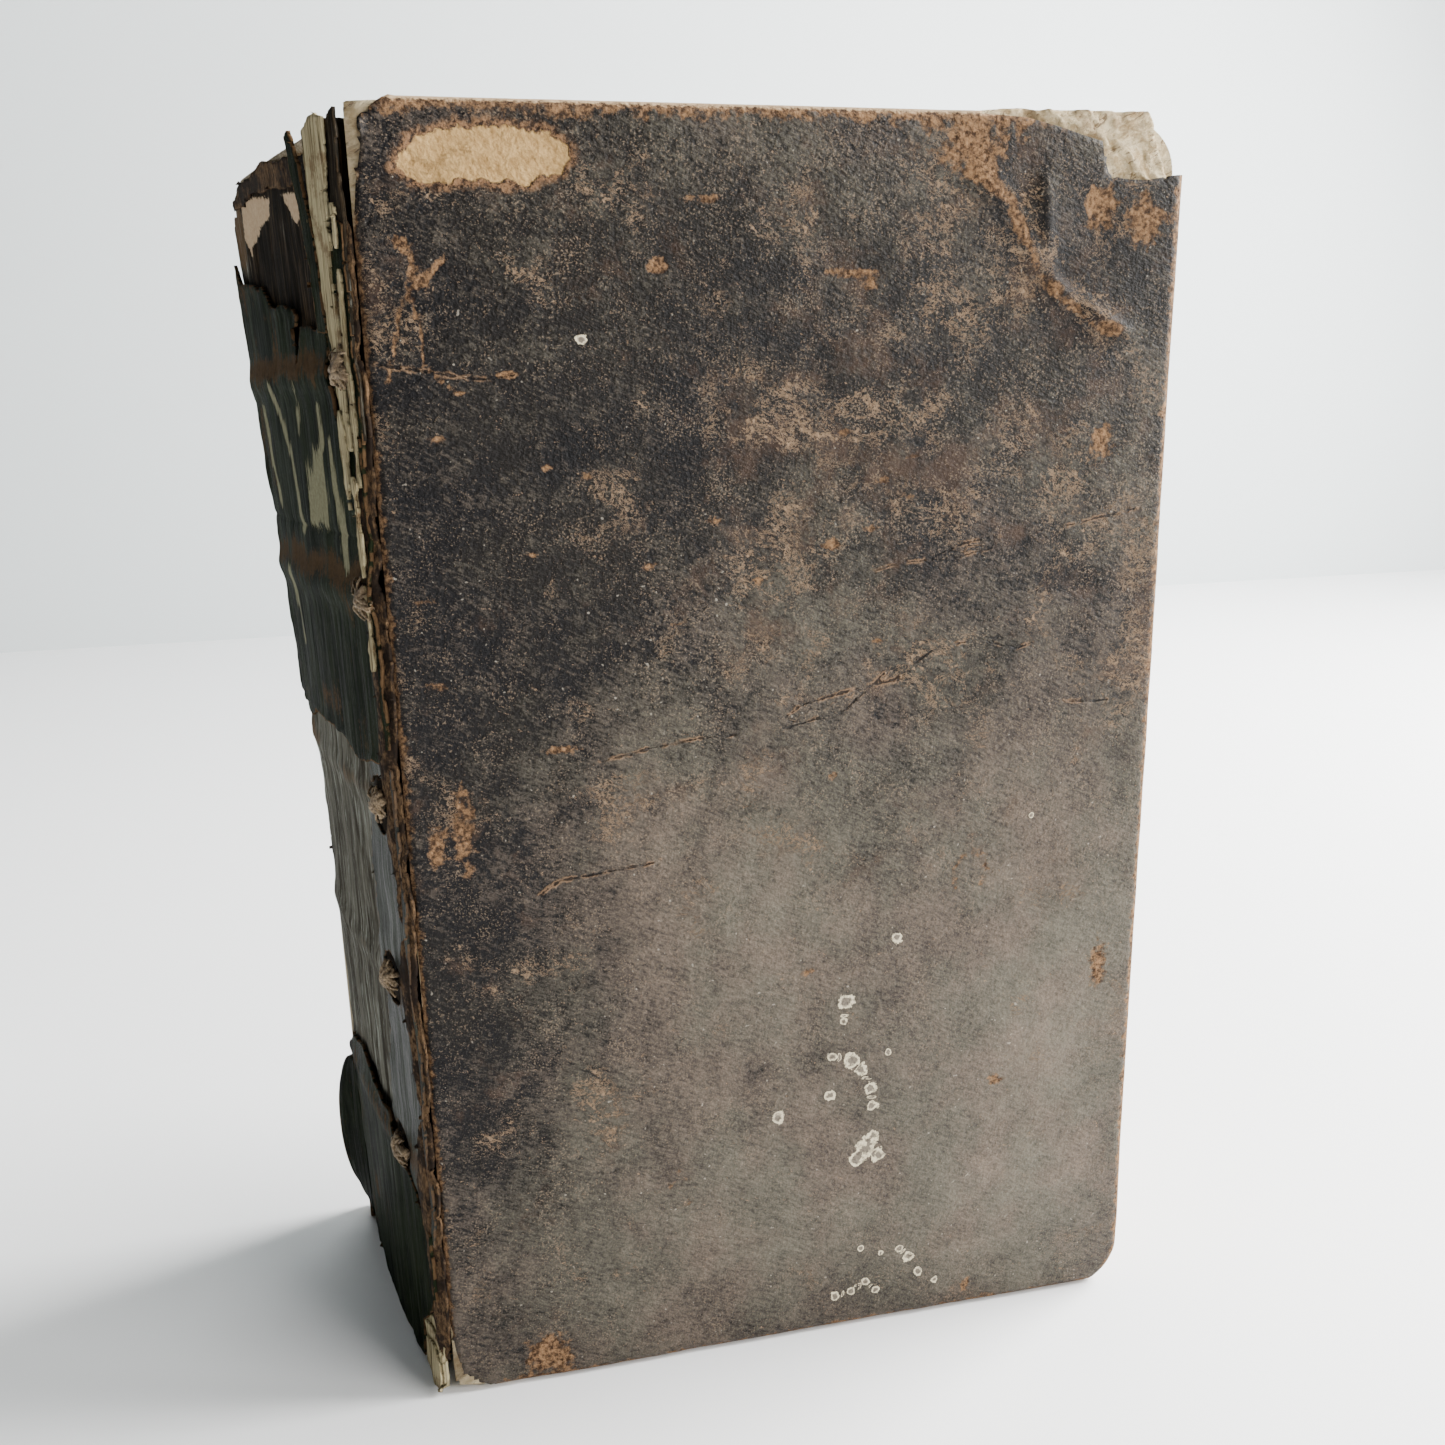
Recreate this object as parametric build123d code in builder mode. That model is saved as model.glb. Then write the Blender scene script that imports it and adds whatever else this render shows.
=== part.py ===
from build123d import *
import os
from collections import namedtuple
from math import hypot, sqrt

os.makedirs("parts", exist_ok=True)

# A thick old leather-bound prayer book, standing closed on the tail edges of its boards.
# +X runs from the spine to the fore-edge, +Y from the front cover to the back, +Z from tail to head.
# The origin is the middle of the base. The book is cocked: the spine is one shallow arc that slants,
# so the back board stands further out on the spine side than the front board. Millimetres.

# ---- Driving sizes ----
board_height = 200.0
board_width = 121.0
book_thickness = 58.0
spine_skew = 17.0
spine_bulge = 2.0
corner_radius = 8.0

# Covers
leather_thickness = 0.8
ply_thickness = 1.7
turn_in_thickness = 0.5
turn_in_width = 12.0
pastedown_thickness = 0.3
pastedown_lap = 8.0

# Spine coverings
spine_leather_thickness = 1.0
lining_thickness = 0.6
wing_overhang = 4.0
wing_root = 3.0
wing_edge_thickness = 0.6
joint_strip_thickness = 0.8
strip_width = 3.6
strip_clearance = 0.96

# Text block
head_square = 4.5
tail_square = 2.5
fore_edge_square = 3.5
gathering_count = 16
gathering_gap = 0.1
fold_roundness = 0.42
leaf_thickness = 0.25
leaf_pitch = 0.55
leaf_axis_inset = 0.6
leaf_gutter = 1.0
front_leaf_count = 3
back_leaf_count = 1

# Sewing
cord_count = 5
cord_width = 2.2
cord_depth = 1.6
first_cord_height = 41.0
last_cord_below_head = 35.0
thread_width = 0.8
kettle_margin = 12.0
slip_depth = 1.2
slip_length = 14.0
slip_pin_radius = 1.0
endband_size = 2.0

# Clearances
running_gap = 0.3
sewing_gap = 0.1
glue_gap = 0.05
leather_edge_setback = 0.5

# ---- Worked out from them ----
front_face = -book_thickness / 2
back_face = book_thickness / 2
left_reach = spine_skew + wing_overhang
front_edge_x = (left_reach - board_width) / 2
wing_tip_x = front_edge_x - left_reach
board_thickness = 2 * ply_thickness
cover_thickness = leather_thickness + board_thickness + turn_in_thickness + pastedown_thickness

# The spine line is an arc from the front board's outer edge to the back face.
spine_chord = hypot(spine_skew, book_thickness)
spine_radius = (spine_chord ** 2 / 4 + spine_bulge ** 2) / (2 * spine_bulge)
centre_reach = (spine_radius - spine_bulge) / spine_chord
spine_centre_x = front_edge_x - spine_skew / 2 + centre_reach * book_thickness
spine_centre_y = centre_reach * spine_skew


def spine_x(y):
    """X of the spine line at depth y."""
    return spine_centre_x - sqrt(spine_radius ** 2 - (y - spine_centre_y) ** 2)


# Layers over the spine line, measured outward from it
lining_inside = -lining_thickness / 2
lining_outside = lining_thickness / 2
leather_outside = lining_outside + spine_leather_thickness
strip_outside = lining_outside + joint_strip_thickness
fold_face = lining_inside - glue_gap

# Depths and heights of the text block
block_foot = tail_square
block_head = board_height - head_square
block_height = block_head - block_foot
inner_front = front_face + cover_thickness + running_gap
inner_back = back_face - cover_thickness - running_gap
block_front = inner_front + front_leaf_count * leaf_pitch
block_back = inner_back - back_leaf_count * leaf_pitch
gathering_pitch = (block_back - block_front + gathering_gap) / gathering_count

# The back board's spine-side edge clears the leather at its inner face.
back_edge_x = spine_x(back_face - cover_thickness) + running_gap - lining_outside

cord_spacing = (board_height - first_cord_height - last_cord_below_head) / (cord_count - 1)
cord_levels = [first_cord_height + number * cord_spacing for number in range(cord_count)]
kettle_levels = [block_foot + kettle_margin, block_head - kettle_margin]


def fore_x(y):
    """X of the text block's fore-edge at depth y, parallel to the spine."""
    return spine_x(y) + board_width - fore_edge_square


# ---- Outlines ----
def spine_layer(level, inside, outside, near, far):
    """Plan of a layer that follows the spine line between two depths, laid at a height."""
    middle = (near + far) / 2
    with BuildSketch(Plane.XY.offset(level)) as plan:
        with BuildLine():
            ThreePointArc(*[(spine_x(y) - inside, y) for y in (near, middle, far)])
            Line((spine_x(far) - inside, far), (spine_x(far) - outside, far))
            ThreePointArc(*[(spine_x(y) - outside, y) for y in (far, middle, near)])
            Line((spine_x(near) - outside, near), (spine_x(near) - inside, near))
        make_face()
    return plan.sketch


def gathering_plan(near, far):
    """Plan of one gathering: square at the fore-edge, rounded where its sheets fold."""
    with BuildSketch(Plane.XY.offset(block_foot)) as plan:
        with BuildLine():
            Polyline(
                (spine_x(near) - fold_face, near),
                (fore_x(near), near),
                (fore_x(far), far),
                (spine_x(far) - fold_face, far),
                close=True,
            )
        make_face()
        fillet(plan.vertices().sort_by(Axis.X)[:2], fold_roundness * (far - near))
    return plan.sketch


def torn_outline(shares):
    """Outline of torn leather seen from the spine: (share of thickness, share of height) points."""
    points = [(front_face + deep * book_thickness, high * board_height) for deep, high in shares]
    with BuildSketch(Plane.YZ) as outline:
        with BuildLine():
            Polyline(*points, close=True)
        make_face()
    return outline.sketch


Cover = namedtuple("Cover", "edge_x outer_y inward")
front = Cover(front_edge_x, front_face, 1)
back = Cover(back_edge_x, back_face, -1)


def cover_plane(cover, depth):
    """Plane parallel to a cover, a given depth in from its outer face."""
    origin = (cover.edge_x, cover.outer_y + cover.inward * depth, 0)
    return Plane(origin=origin, x_dir=(1, 0, 0), z_dir=(0, -1, 0))


def board_outline(cover, depth, inset=0.0):
    """Outline of a board, drawn in from the head, tail and fore-edge by an inset."""
    width = board_width - inset
    with BuildSketch(cover_plane(cover, depth)) as outline:
        with Locations((width / 2, board_height / 2)):
            Rectangle(width, board_height - 2 * inset)
        fillet(outline.vertices().group_by(Axis.X)[-1], corner_radius - inset)
    return outline.sketch


def window_outline(cover, depth, margin, spine_inset=0.0):
    """Outline of the opening that the turn-ins leave, with a margin on three sides."""
    width = board_width - margin - spine_inset
    with BuildSketch(cover_plane(cover, depth)) as outline:
        with Locations((spine_inset + width / 2, board_height / 2)):
            Rectangle(width, board_height - 2 * margin)
    return outline.sketch


def slip_outline(cover, depth, level, width):
    """Outline of the channel or slip that runs in from the spine-side edge at a cord's height."""
    with BuildSketch(cover_plane(cover, depth)) as outline:
        with Locations((slip_length / 2, level)):
            Rectangle(slip_length, width)
    return outline.sketch


def slip_hole_outline(cover, depth, level, radius):
    """Outline of the hole by which a slip goes through the board."""
    with BuildSketch(cover_plane(cover, depth)) as outline:
        with Locations((slip_length - cord_width / 2, level)):
            Circle(radius)
    return outline.sketch


def lost_corner(cover):
    """Outline of the leather that is worn away at the head fore-edge corner."""
    right = board_width + leather_thickness
    top = board_height + leather_thickness
    with BuildSketch(cover_plane(cover, 0)) as outline:
        with BuildLine():
            Polyline(
                (right, top),
                (board_width - 14, top),
                (board_width - 12, board_height - 5),
                (board_width - 10, board_height - 8),
                (board_width - 3, board_height - 9),
                (board_width - 1.5, board_height - 18),
                (right, board_height - 18.5),
                close=True,
            )
        make_face()
    return outline.sketch


# ---- Cover pieces ----
def into_cover(cover, thickness):
    """Signed extrusion that goes from a cover's plane towards the text block."""
    return -cover.inward * thickness


def cover_leather(cover, corner_is_lost):
    """Leather over the outer face and three edges, turned in over the board's inner face."""
    deep_face = leather_thickness + board_thickness
    with BuildPart() as leather:
        extrude(board_outline(cover, 0), amount=into_cover(cover, deep_face + turn_in_thickness))
        pocket = board_outline(cover, leather_thickness, leather_thickness)
        extrude(pocket, amount=into_cover(cover, board_thickness), mode=Mode.SUBTRACT)
        window = window_outline(cover, deep_face, turn_in_width)
        extrude(window, amount=into_cover(cover, turn_in_thickness), mode=Mode.SUBTRACT)
        if corner_is_lost:
            extrude(lost_corner(cover), amount=into_cover(cover, cover_thickness), mode=Mode.SUBTRACT)
    return leather.part


def board_ply(cover, depth):
    """One ply of the pasteboard, with the channels and holes that the slips need."""
    channel_width = cord_width + 2 * sewing_gap
    hole_radius = slip_pin_radius + sewing_gap
    channel_depth = max(leather_thickness + slip_depth + sewing_gap - depth, 0)
    with BuildPart() as ply:
        extrude(board_outline(cover, depth, leather_thickness), amount=into_cover(cover, ply_thickness))
        for level in cord_levels:
            hole = slip_hole_outline(cover, depth, level, hole_radius)
            extrude(hole, amount=into_cover(cover, ply_thickness), mode=Mode.SUBTRACT)
            if channel_depth > 0:
                channel = slip_outline(cover, depth, level, channel_width)
                extrude(channel, amount=into_cover(cover, channel_depth), mode=Mode.SUBTRACT)
    return ply.part


def cord_slips(cover):
    """The laced ends of the five cords: each lies in its channel and goes through its hole."""
    with BuildPart() as slips:
        for level in cord_levels:
            slip = slip_outline(cover, leather_thickness, level, cord_width)
            extrude(slip, amount=into_cover(cover, slip_depth))
            pin = slip_hole_outline(cover, leather_thickness, level, slip_pin_radius)
            extrude(pin, amount=into_cover(cover, board_thickness))
    return slips.part


def pastedown(cover):
    """Endpaper pasted to the board inside the turn-ins and lapping over them."""
    board_face = leather_thickness + board_thickness
    lap_margin = turn_in_width - pastedown_lap
    dish_margin = turn_in_width + pastedown_thickness
    with BuildPart() as paper:
        window = window_outline(cover, board_face, turn_in_width)
        extrude(window, amount=into_cover(cover, turn_in_thickness + pastedown_thickness))
        lap = window_outline(cover, board_face + turn_in_thickness, lap_margin)
        extrude(lap, amount=into_cover(cover, pastedown_thickness))
        dish = window_outline(cover, board_face + pastedown_thickness, dish_margin)
        extrude(dish, amount=into_cover(cover, turn_in_thickness), mode=Mode.SUBTRACT)
    return paper.part


for side, cover in (("front", front), ("back", back)):
    with BuildPart() as cover_leather_piece:
        add(cover_leather(cover, corner_is_lost=side == "front"))
    cover_leather_piece.part.label = f"{side}_cover_leather"
    export_step(cover_leather_piece.part, f"parts/{side}_cover_leather.step")

    with BuildPart() as outer_ply:
        add(board_ply(cover, leather_thickness))
    outer_ply.part.label = f"{side}_board_outer_ply"
    export_step(outer_ply.part, f"parts/{side}_board_outer_ply.step")

    with BuildPart() as inner_ply:
        add(board_ply(cover, leather_thickness + ply_thickness))
    inner_ply.part.label = f"{side}_board_inner_ply"
    export_step(inner_ply.part, f"parts/{side}_board_inner_ply.step")

    with BuildPart() as slips:
        add(cord_slips(cover))
    slips.part.label = f"{side}_cord_slips"
    export_step(slips.part, f"parts/{side}_cord_slips.step")

    with BuildPart() as pasted_paper:
        add(pastedown(cover))
    pasted_paper.part.label = f"{side}_pastedown"
    export_step(pasted_paper.part, f"parts/{side}_pastedown.step")

# ---- Text block ----
kerf_width = cord_width + 2 * sewing_gap
kerf_floor = fold_face - cord_depth - sewing_gap
thread_kerf_width = thread_width + 2 * sewing_gap
thread_kerf_floor = fold_face - thread_width - sewing_gap

for number in range(gathering_count):
    near = block_front + number * gathering_pitch
    far = near + gathering_pitch - gathering_gap
    with BuildPart() as gathering:
        extrude(gathering_plan(near, far), amount=block_height)
        for level in cord_levels:
            kerf = spine_layer(level - kerf_width / 2, kerf_floor, lining_outside, near - 1, far + 1)
            extrude(kerf, amount=kerf_width, mode=Mode.SUBTRACT)
        for level in kettle_levels:
            foot = level - thread_kerf_width / 2
            kerf = spine_layer(foot, thread_kerf_floor, lining_outside, near - 1, far + 1)
            extrude(kerf, amount=thread_kerf_width, mode=Mode.SUBTRACT)
    gathering.part.label = f"gathering_{number + 1:02d}"
    export_step(gathering.part, f"parts/gathering_{number + 1:02d}.step")

for number, level in enumerate(cord_levels, start=1):
    with BuildPart() as sewing_cord:
        plan = spine_layer(level - cord_width / 2, fold_face - cord_depth, fold_face, inner_front, inner_back)
        extrude(plan, amount=cord_width)
    sewing_cord.part.label = f"sewing_cord_{number}"
    export_step(sewing_cord.part, f"parts/sewing_cord_{number}.step")

with BuildPart() as kettle_stitches:
    for level in kettle_levels:
        foot = level - thread_width / 2
        plan = spine_layer(foot, fold_face - thread_width, fold_face, block_front, block_back)
        extrude(plan, amount=thread_width)
kettle_stitches.part.label = "kettle_stitches"
export_step(kettle_stitches.part, "parts/kettle_stitches.step")

for name, foot in (("head_endband", block_head), ("tail_endband", block_foot - endband_size)):
    with BuildPart() as endband:
        plan = spine_layer(foot, fold_face - endband_size, fold_face, block_front, block_back)
        extrude(plan, amount=endband_size)
    endband.part.label = name
    export_step(endband.part, f"parts/{name}.step")

# ---- Spine coverings ----
with BuildPart() as spine_lining:
    plan = spine_layer(block_foot, lining_inside, lining_outside, inner_front, inner_back)
    extrude(plan, amount=block_height)
spine_lining.part.label = "spine_lining"
export_step(spine_lining.part, "parts/spine_lining.step")

leather_near = front_face + leather_edge_setback
leather_far = back_face - leather_edge_setback

# Clockwise from the front joint at mid height: up the joint, up beside the cream strip, round the torn
# head, down the back edge and along the jagged tear.
strip_side = (inner_front + strip_width + strip_clearance - front_face) / book_thickness
upper_leather_shares = (
    (0.00, 0.56), (0.00, 0.74), (0.03, 0.77), (strip_side, 0.785), (strip_side + 0.005, 0.945),
    (0.45, 0.955), (0.74, 0.950), (0.78, 0.920), (1.00, 0.915), (1.00, 0.555), (0.73, 0.537),
    (0.52, 0.552), (0.37, 0.548), (0.16, 0.535), (0.06, 0.545),
)
with BuildPart() as spine_leather_upper:
    extrude(spine_layer(0, lining_outside, leather_outside, leather_near, leather_far), amount=board_height)
    extrude(torn_outline(upper_leather_shares), amount=-board_width, mode=Mode.INTERSECT)
spine_leather_upper.part.label = "spine_leather_upper"
export_step(spine_leather_upper.part, "parts/spine_leather_upper.step")

# Clockwise from the front joint at the tail: up the joint, along the slanting tear and down the back.
tail_leather_shares = (
    (0.15, 0.00), (0.15, 0.05), (0.04, 0.09), (0.02, 0.15), (0.17, 0.185), (0.29, 0.221),
    (0.43, 0.229), (0.60, 0.241), (0.80, 0.225), (1.00, 0.160), (1.00, 0.00),
)
# The loose wing flares out from the leather's back edge.
wing_foot = 0.05 * board_height
wing_head = 0.155 * board_height
with BuildPart() as spine_leather_tail:
    extrude(spine_layer(0, lining_outside, leather_outside, leather_near, leather_far), amount=board_height)
    extrude(torn_outline(tail_leather_shares), amount=-board_width, mode=Mode.INTERSECT)
    with BuildSketch(Plane.XY.offset(wing_foot)):
        with BuildLine():
            Polyline(
                (wing_tip_x, leather_far),
                (spine_x(leather_far) - lining_outside, leather_far),
                (spine_x(leather_far - wing_root) - lining_outside, leather_far - wing_root),
                (wing_tip_x, leather_far - wing_edge_thickness),
                close=True,
            )
        make_face()
    extrude(amount=wing_head - wing_foot)
spine_leather_tail.part.label = "spine_leather_tail"
export_step(spine_leather_tail.part, "parts/spine_leather_tail.step")

# The cream strip stands on the lining along the front joint, up past the text block's head.
strip_foot = 0.79 * board_height
strip_head = board_height - 2.0
with BuildPart() as front_joint_strip:
    plan = spine_layer(strip_foot, lining_outside, strip_outside, inner_front, inner_front + strip_width)
    extrude(plan, amount=strip_head - strip_foot)
front_joint_strip.part.label = "front_joint_strip"
export_step(front_joint_strip.part, "parts/front_joint_strip.step")

# ---- Leaves that turn ----
front_leaf_names = ("front_flyleaf", "front_leaf_1", "front_leaf_2")
front_leaves = [(name, inner_front + number * leaf_pitch) for number, name in enumerate(front_leaf_names)]
back_leaves = [("back_flyleaf", inner_back - leaf_thickness)]
for edge_x, leaves in ((front_edge_x, front_leaves), (back_edge_x, back_leaves)):
    for name, near in leaves:
        # The leaf turns just inside the board's edge, and its paper starts clear of the cords.
        clear_of_cords = spine_x(near) - kerf_floor + running_gap - leaf_gutter
        axis_x = max(edge_x + leaf_axis_inset, clear_of_cords)
        left = axis_x + leaf_gutter
        right = fore_x(near) - running_gap
        with BuildPart() as leaf:
            with BuildSketch(Plane.XY.offset(block_foot)):
                with Locations(((left + right) / 2, near + leaf_thickness / 2)):
                    Rectangle(right - left, leaf_thickness)
            extrude(amount=block_height)
        leaf.part.label = name
        export_step(leaf.part, f"parts/{name}.step")
        print("leaf", name, "axis", round(axis_x, 3), round(near + leaf_thickness / 2, 3))

print("front hinge", round(front_edge_x, 3), round(front_face, 3))
print("back hinge", round(back_edge_x, 3), round(back_face, 3))
print("cover thickness", round(cover_thickness, 3), "gathering", round(gathering_pitch, 3))
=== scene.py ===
import math
import bpy
import numpy as np
from mathutils import Matrix, Vector


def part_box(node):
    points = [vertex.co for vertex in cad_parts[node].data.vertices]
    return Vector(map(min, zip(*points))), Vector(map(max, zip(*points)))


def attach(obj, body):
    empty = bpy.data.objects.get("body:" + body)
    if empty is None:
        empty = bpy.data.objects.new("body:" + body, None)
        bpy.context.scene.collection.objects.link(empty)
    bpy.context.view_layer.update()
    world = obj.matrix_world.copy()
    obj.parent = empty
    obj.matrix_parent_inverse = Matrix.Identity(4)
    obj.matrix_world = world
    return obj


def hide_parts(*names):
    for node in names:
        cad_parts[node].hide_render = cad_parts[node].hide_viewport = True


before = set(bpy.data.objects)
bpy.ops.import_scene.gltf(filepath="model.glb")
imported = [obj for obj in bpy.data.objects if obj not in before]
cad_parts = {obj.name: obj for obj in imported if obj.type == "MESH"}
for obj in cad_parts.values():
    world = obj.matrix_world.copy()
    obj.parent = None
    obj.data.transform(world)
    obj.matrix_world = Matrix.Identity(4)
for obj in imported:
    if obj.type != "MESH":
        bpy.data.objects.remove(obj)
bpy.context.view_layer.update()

# Shapes are worked out in millimetres in the row's frame; meshes are made in metres.
MM = 0.001


def cad_box(node):
    """Lowest and highest corners of a CAD node, in millimetres."""
    low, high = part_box(node)
    return np.array(low) / MM, np.array(high) / MM


front_low, front_high = cad_box("front_cover_leather")
back_low, back_high = cad_box("back_cover_leather")

# Sizes in mm: the covers' places come from the CAD model, the rest are the part's own values
HINGE_X, FRONT_Y = front_low[0], front_low[1]
BACK_EDGE_X, BACK_Y = back_low[0], back_high[1]
WIDTH = front_high[0] - front_low[0]
HEIGHT = front_high[2]
THICKNESS = BACK_Y - FRONT_Y
CORNER_RADIUS = 8.0
SPINE_SKEW = 17.0
SPINE_BULGE = 2.0
HEAD_LEAN = 2.8
FOOT_LEAN = 2.2
HEAD_FLARE = 2.8
CORD_HEIGHTS = (41.0, 72.0, 103.0, 134.0, 165.0)
GATHERINGS = 16


# ---- Arrays and noise ----
def hashed(ix, iy, iz, seed):
    """Repeatable pseudo-random value from -1 to 1 for each lattice point."""
    h = (ix * 374761393 + iy * 668265263 + iz * 1440662683 + seed * 1274126177) & 0xFFFFFFFF
    h = ((h ^ (h >> 13)) * 1274126177) & 0xFFFFFFFF
    h = h ^ (h >> 16)
    return (h & 0xFFFF) / 32767.5 - 1


def noise(points, size, octaves=3, seed=0):
    """Layered smooth noise, about -1 to 1, at points in mm; size is the widest feature, or one per axis."""
    total, weight = 0.0, 1.0
    scaled = np.asarray(points, float) / size
    for octave in range(octaves):
        cell = np.floor(scaled)
        part = scaled - cell
        ease = part * part * (3 - 2 * part)
        cell = cell.astype(np.int64)
        value = 0.0
        for corner in range(8):
            bits = (corner & 1, corner >> 1 & 1, corner >> 2 & 1)
            share = 1.0
            for axis in range(3):
                share = share * (ease[..., axis] if bits[axis] else 1 - ease[..., axis])
            lattice = [cell[..., axis] + bits[axis] for axis in range(3)]
            value = value + share * hashed(*lattice, seed + 17 * octave)
        total = total + weight * value
        weight *= 0.5
        scaled = scaled * 2.03
    return total


def smoothstep(low, high, value):
    """0 below low, 1 above high, and smooth between them."""
    t = np.clip((value - low) / (high - low), 0, 1)
    return t * t * (3 - 2 * t)


def bell(value, width):
    """1 where value is 0, falling smoothly to nothing some two widths away."""
    return np.exp(-(value / width) ** 2)


def grid(rows, columns):
    """The row's and the column's position at each point of a grid."""
    return np.meshgrid(rows, columns, indexing="ij")


def flat_points(u, v):
    """Two arrays as points in a plane, for the noise function."""
    return np.stack([u, np.zeros_like(u), v], -1)


def nearest_line(u, v, lines):
    """Step from each point to the nearest point of any line, and its length."""
    best = np.full(u.shape, 1e6)
    step_u, step_v = np.zeros_like(u), np.zeros_like(v)
    for line in lines:
        for (au, av), (bu, bv) in zip(line[:-1], line[1:]):
            du, dv = bu - au, bv - av
            t = np.clip(((u - au) * du + (v - av) * dv) / (du * du + dv * dv), 0, 1)
            off_u, off_v = au + t * du - u, av + t * dv - v
            gap = np.hypot(off_u, off_v)
            near = gap < best
            best = np.where(near, gap, best)
            step_u, step_v = np.where(near, off_u, step_u), np.where(near, off_v, step_v)
    return step_u, step_v, best


def inside_outline(u, v, outline):
    """Signed distance to a closed outline in mm: above 0 inside it."""
    ring = list(outline) + [outline[0]]
    gap = nearest_line(u, v, [ring])[2]
    inside = np.zeros(u.shape, bool)
    for (au, av), (bu, bv) in zip(ring[:-1], ring[1:]):
        crosses = (av > v) != (bv > v)
        reach = (bu - au) * (v - av) / (bv - av if bv != av else 1e-9) + au
        inside ^= crosses & (u < reach)
    return np.where(inside, gap, -gap)


def blots(u, v, spots):
    """Sum of soft round-edged blots, each (u, v, half width, half height, strength)."""
    total = np.zeros_like(u)
    for at_u, at_v, wide, tall, strength in spots:
        total += strength * np.exp(-(((u - at_u) / wide) ** 2 + ((v - at_v) / tall) ** 2))
    return total


# ---- Meshes ----
def new_piece(name, points, faces, material, body, fields=None, smooth=True):
    """Mesh object from points in mm, with per-point fields, that rides on a body."""
    mesh = bpy.data.meshes.new(name)
    mesh.from_pydata((np.asarray(points, float) * MM).tolist(), [], [list(f) for f in faces])
    for field, values in (fields or {}).items():
        values = np.asarray(values, np.float32)
        kind, key = ("FLOAT", "value") if values.ndim == 1 else ("FLOAT_VECTOR", "vector")
        mesh.attributes.new(field, kind, "POINT").data.foreach_set(key, values.ravel())
    mesh.polygons.foreach_set("use_smooth", [smooth] * len(mesh.polygons))
    mesh.update()
    piece = bpy.data.objects.new(name, mesh)
    bpy.context.scene.collection.objects.link(piece)
    mesh.materials.append(material)
    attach(piece, body)
    return piece


def grid_faces(rows, columns):
    """Quads of a grid whose points run row by row."""
    start = np.arange(rows * columns).reshape(rows, columns)
    return np.stack([start[:-1, :-1], start[:-1, 1:], start[1:, 1:], start[1:, :-1]], -1).reshape(-1, 4)


def thicken(piece, thickness):
    """Gives a sheet its thickness, inward from its outer face."""
    solid = piece.modifiers.new("thickness", "SOLIDIFY")
    solid.thickness = thickness * MM
    solid.offset = -1
    return piece


def drop_unused(points, faces, fields):
    """Leaves out the points that no face uses."""
    used = np.zeros(len(points), bool)
    used[faces.ravel()] = True
    renumber = np.cumsum(used) - 1
    return points[used], renumber[faces], {k: np.asarray(f)[used] for k, f in fields.items()}


def joined(parts):
    """Points and faces of several meshes as one."""
    starts = np.cumsum([0] + [len(points) for points, _ in parts])
    faces = [[i + start for i in face] for start, (_, own) in zip(starts, parts) for face in own]
    return np.concatenate([points for points, _ in parts]), faces


def spaced(length, step, fine_start=True):
    """Positions along a length, finer at its end, and at its start if asked, where a surface rolls over."""
    roll = np.array([0, 0.12, 0.35, 0.7, 1.15, 1.7, 2.4])
    middle = np.linspace(roll[-1], length - roll[-1], max(2, round((length - 2 * roll[-1]) / step)))
    start = roll[:-1] if fine_start else np.arange(0, roll[-1], step)
    return np.concatenate([start, middle, (length - roll[:-1])[::-1]])


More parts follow.
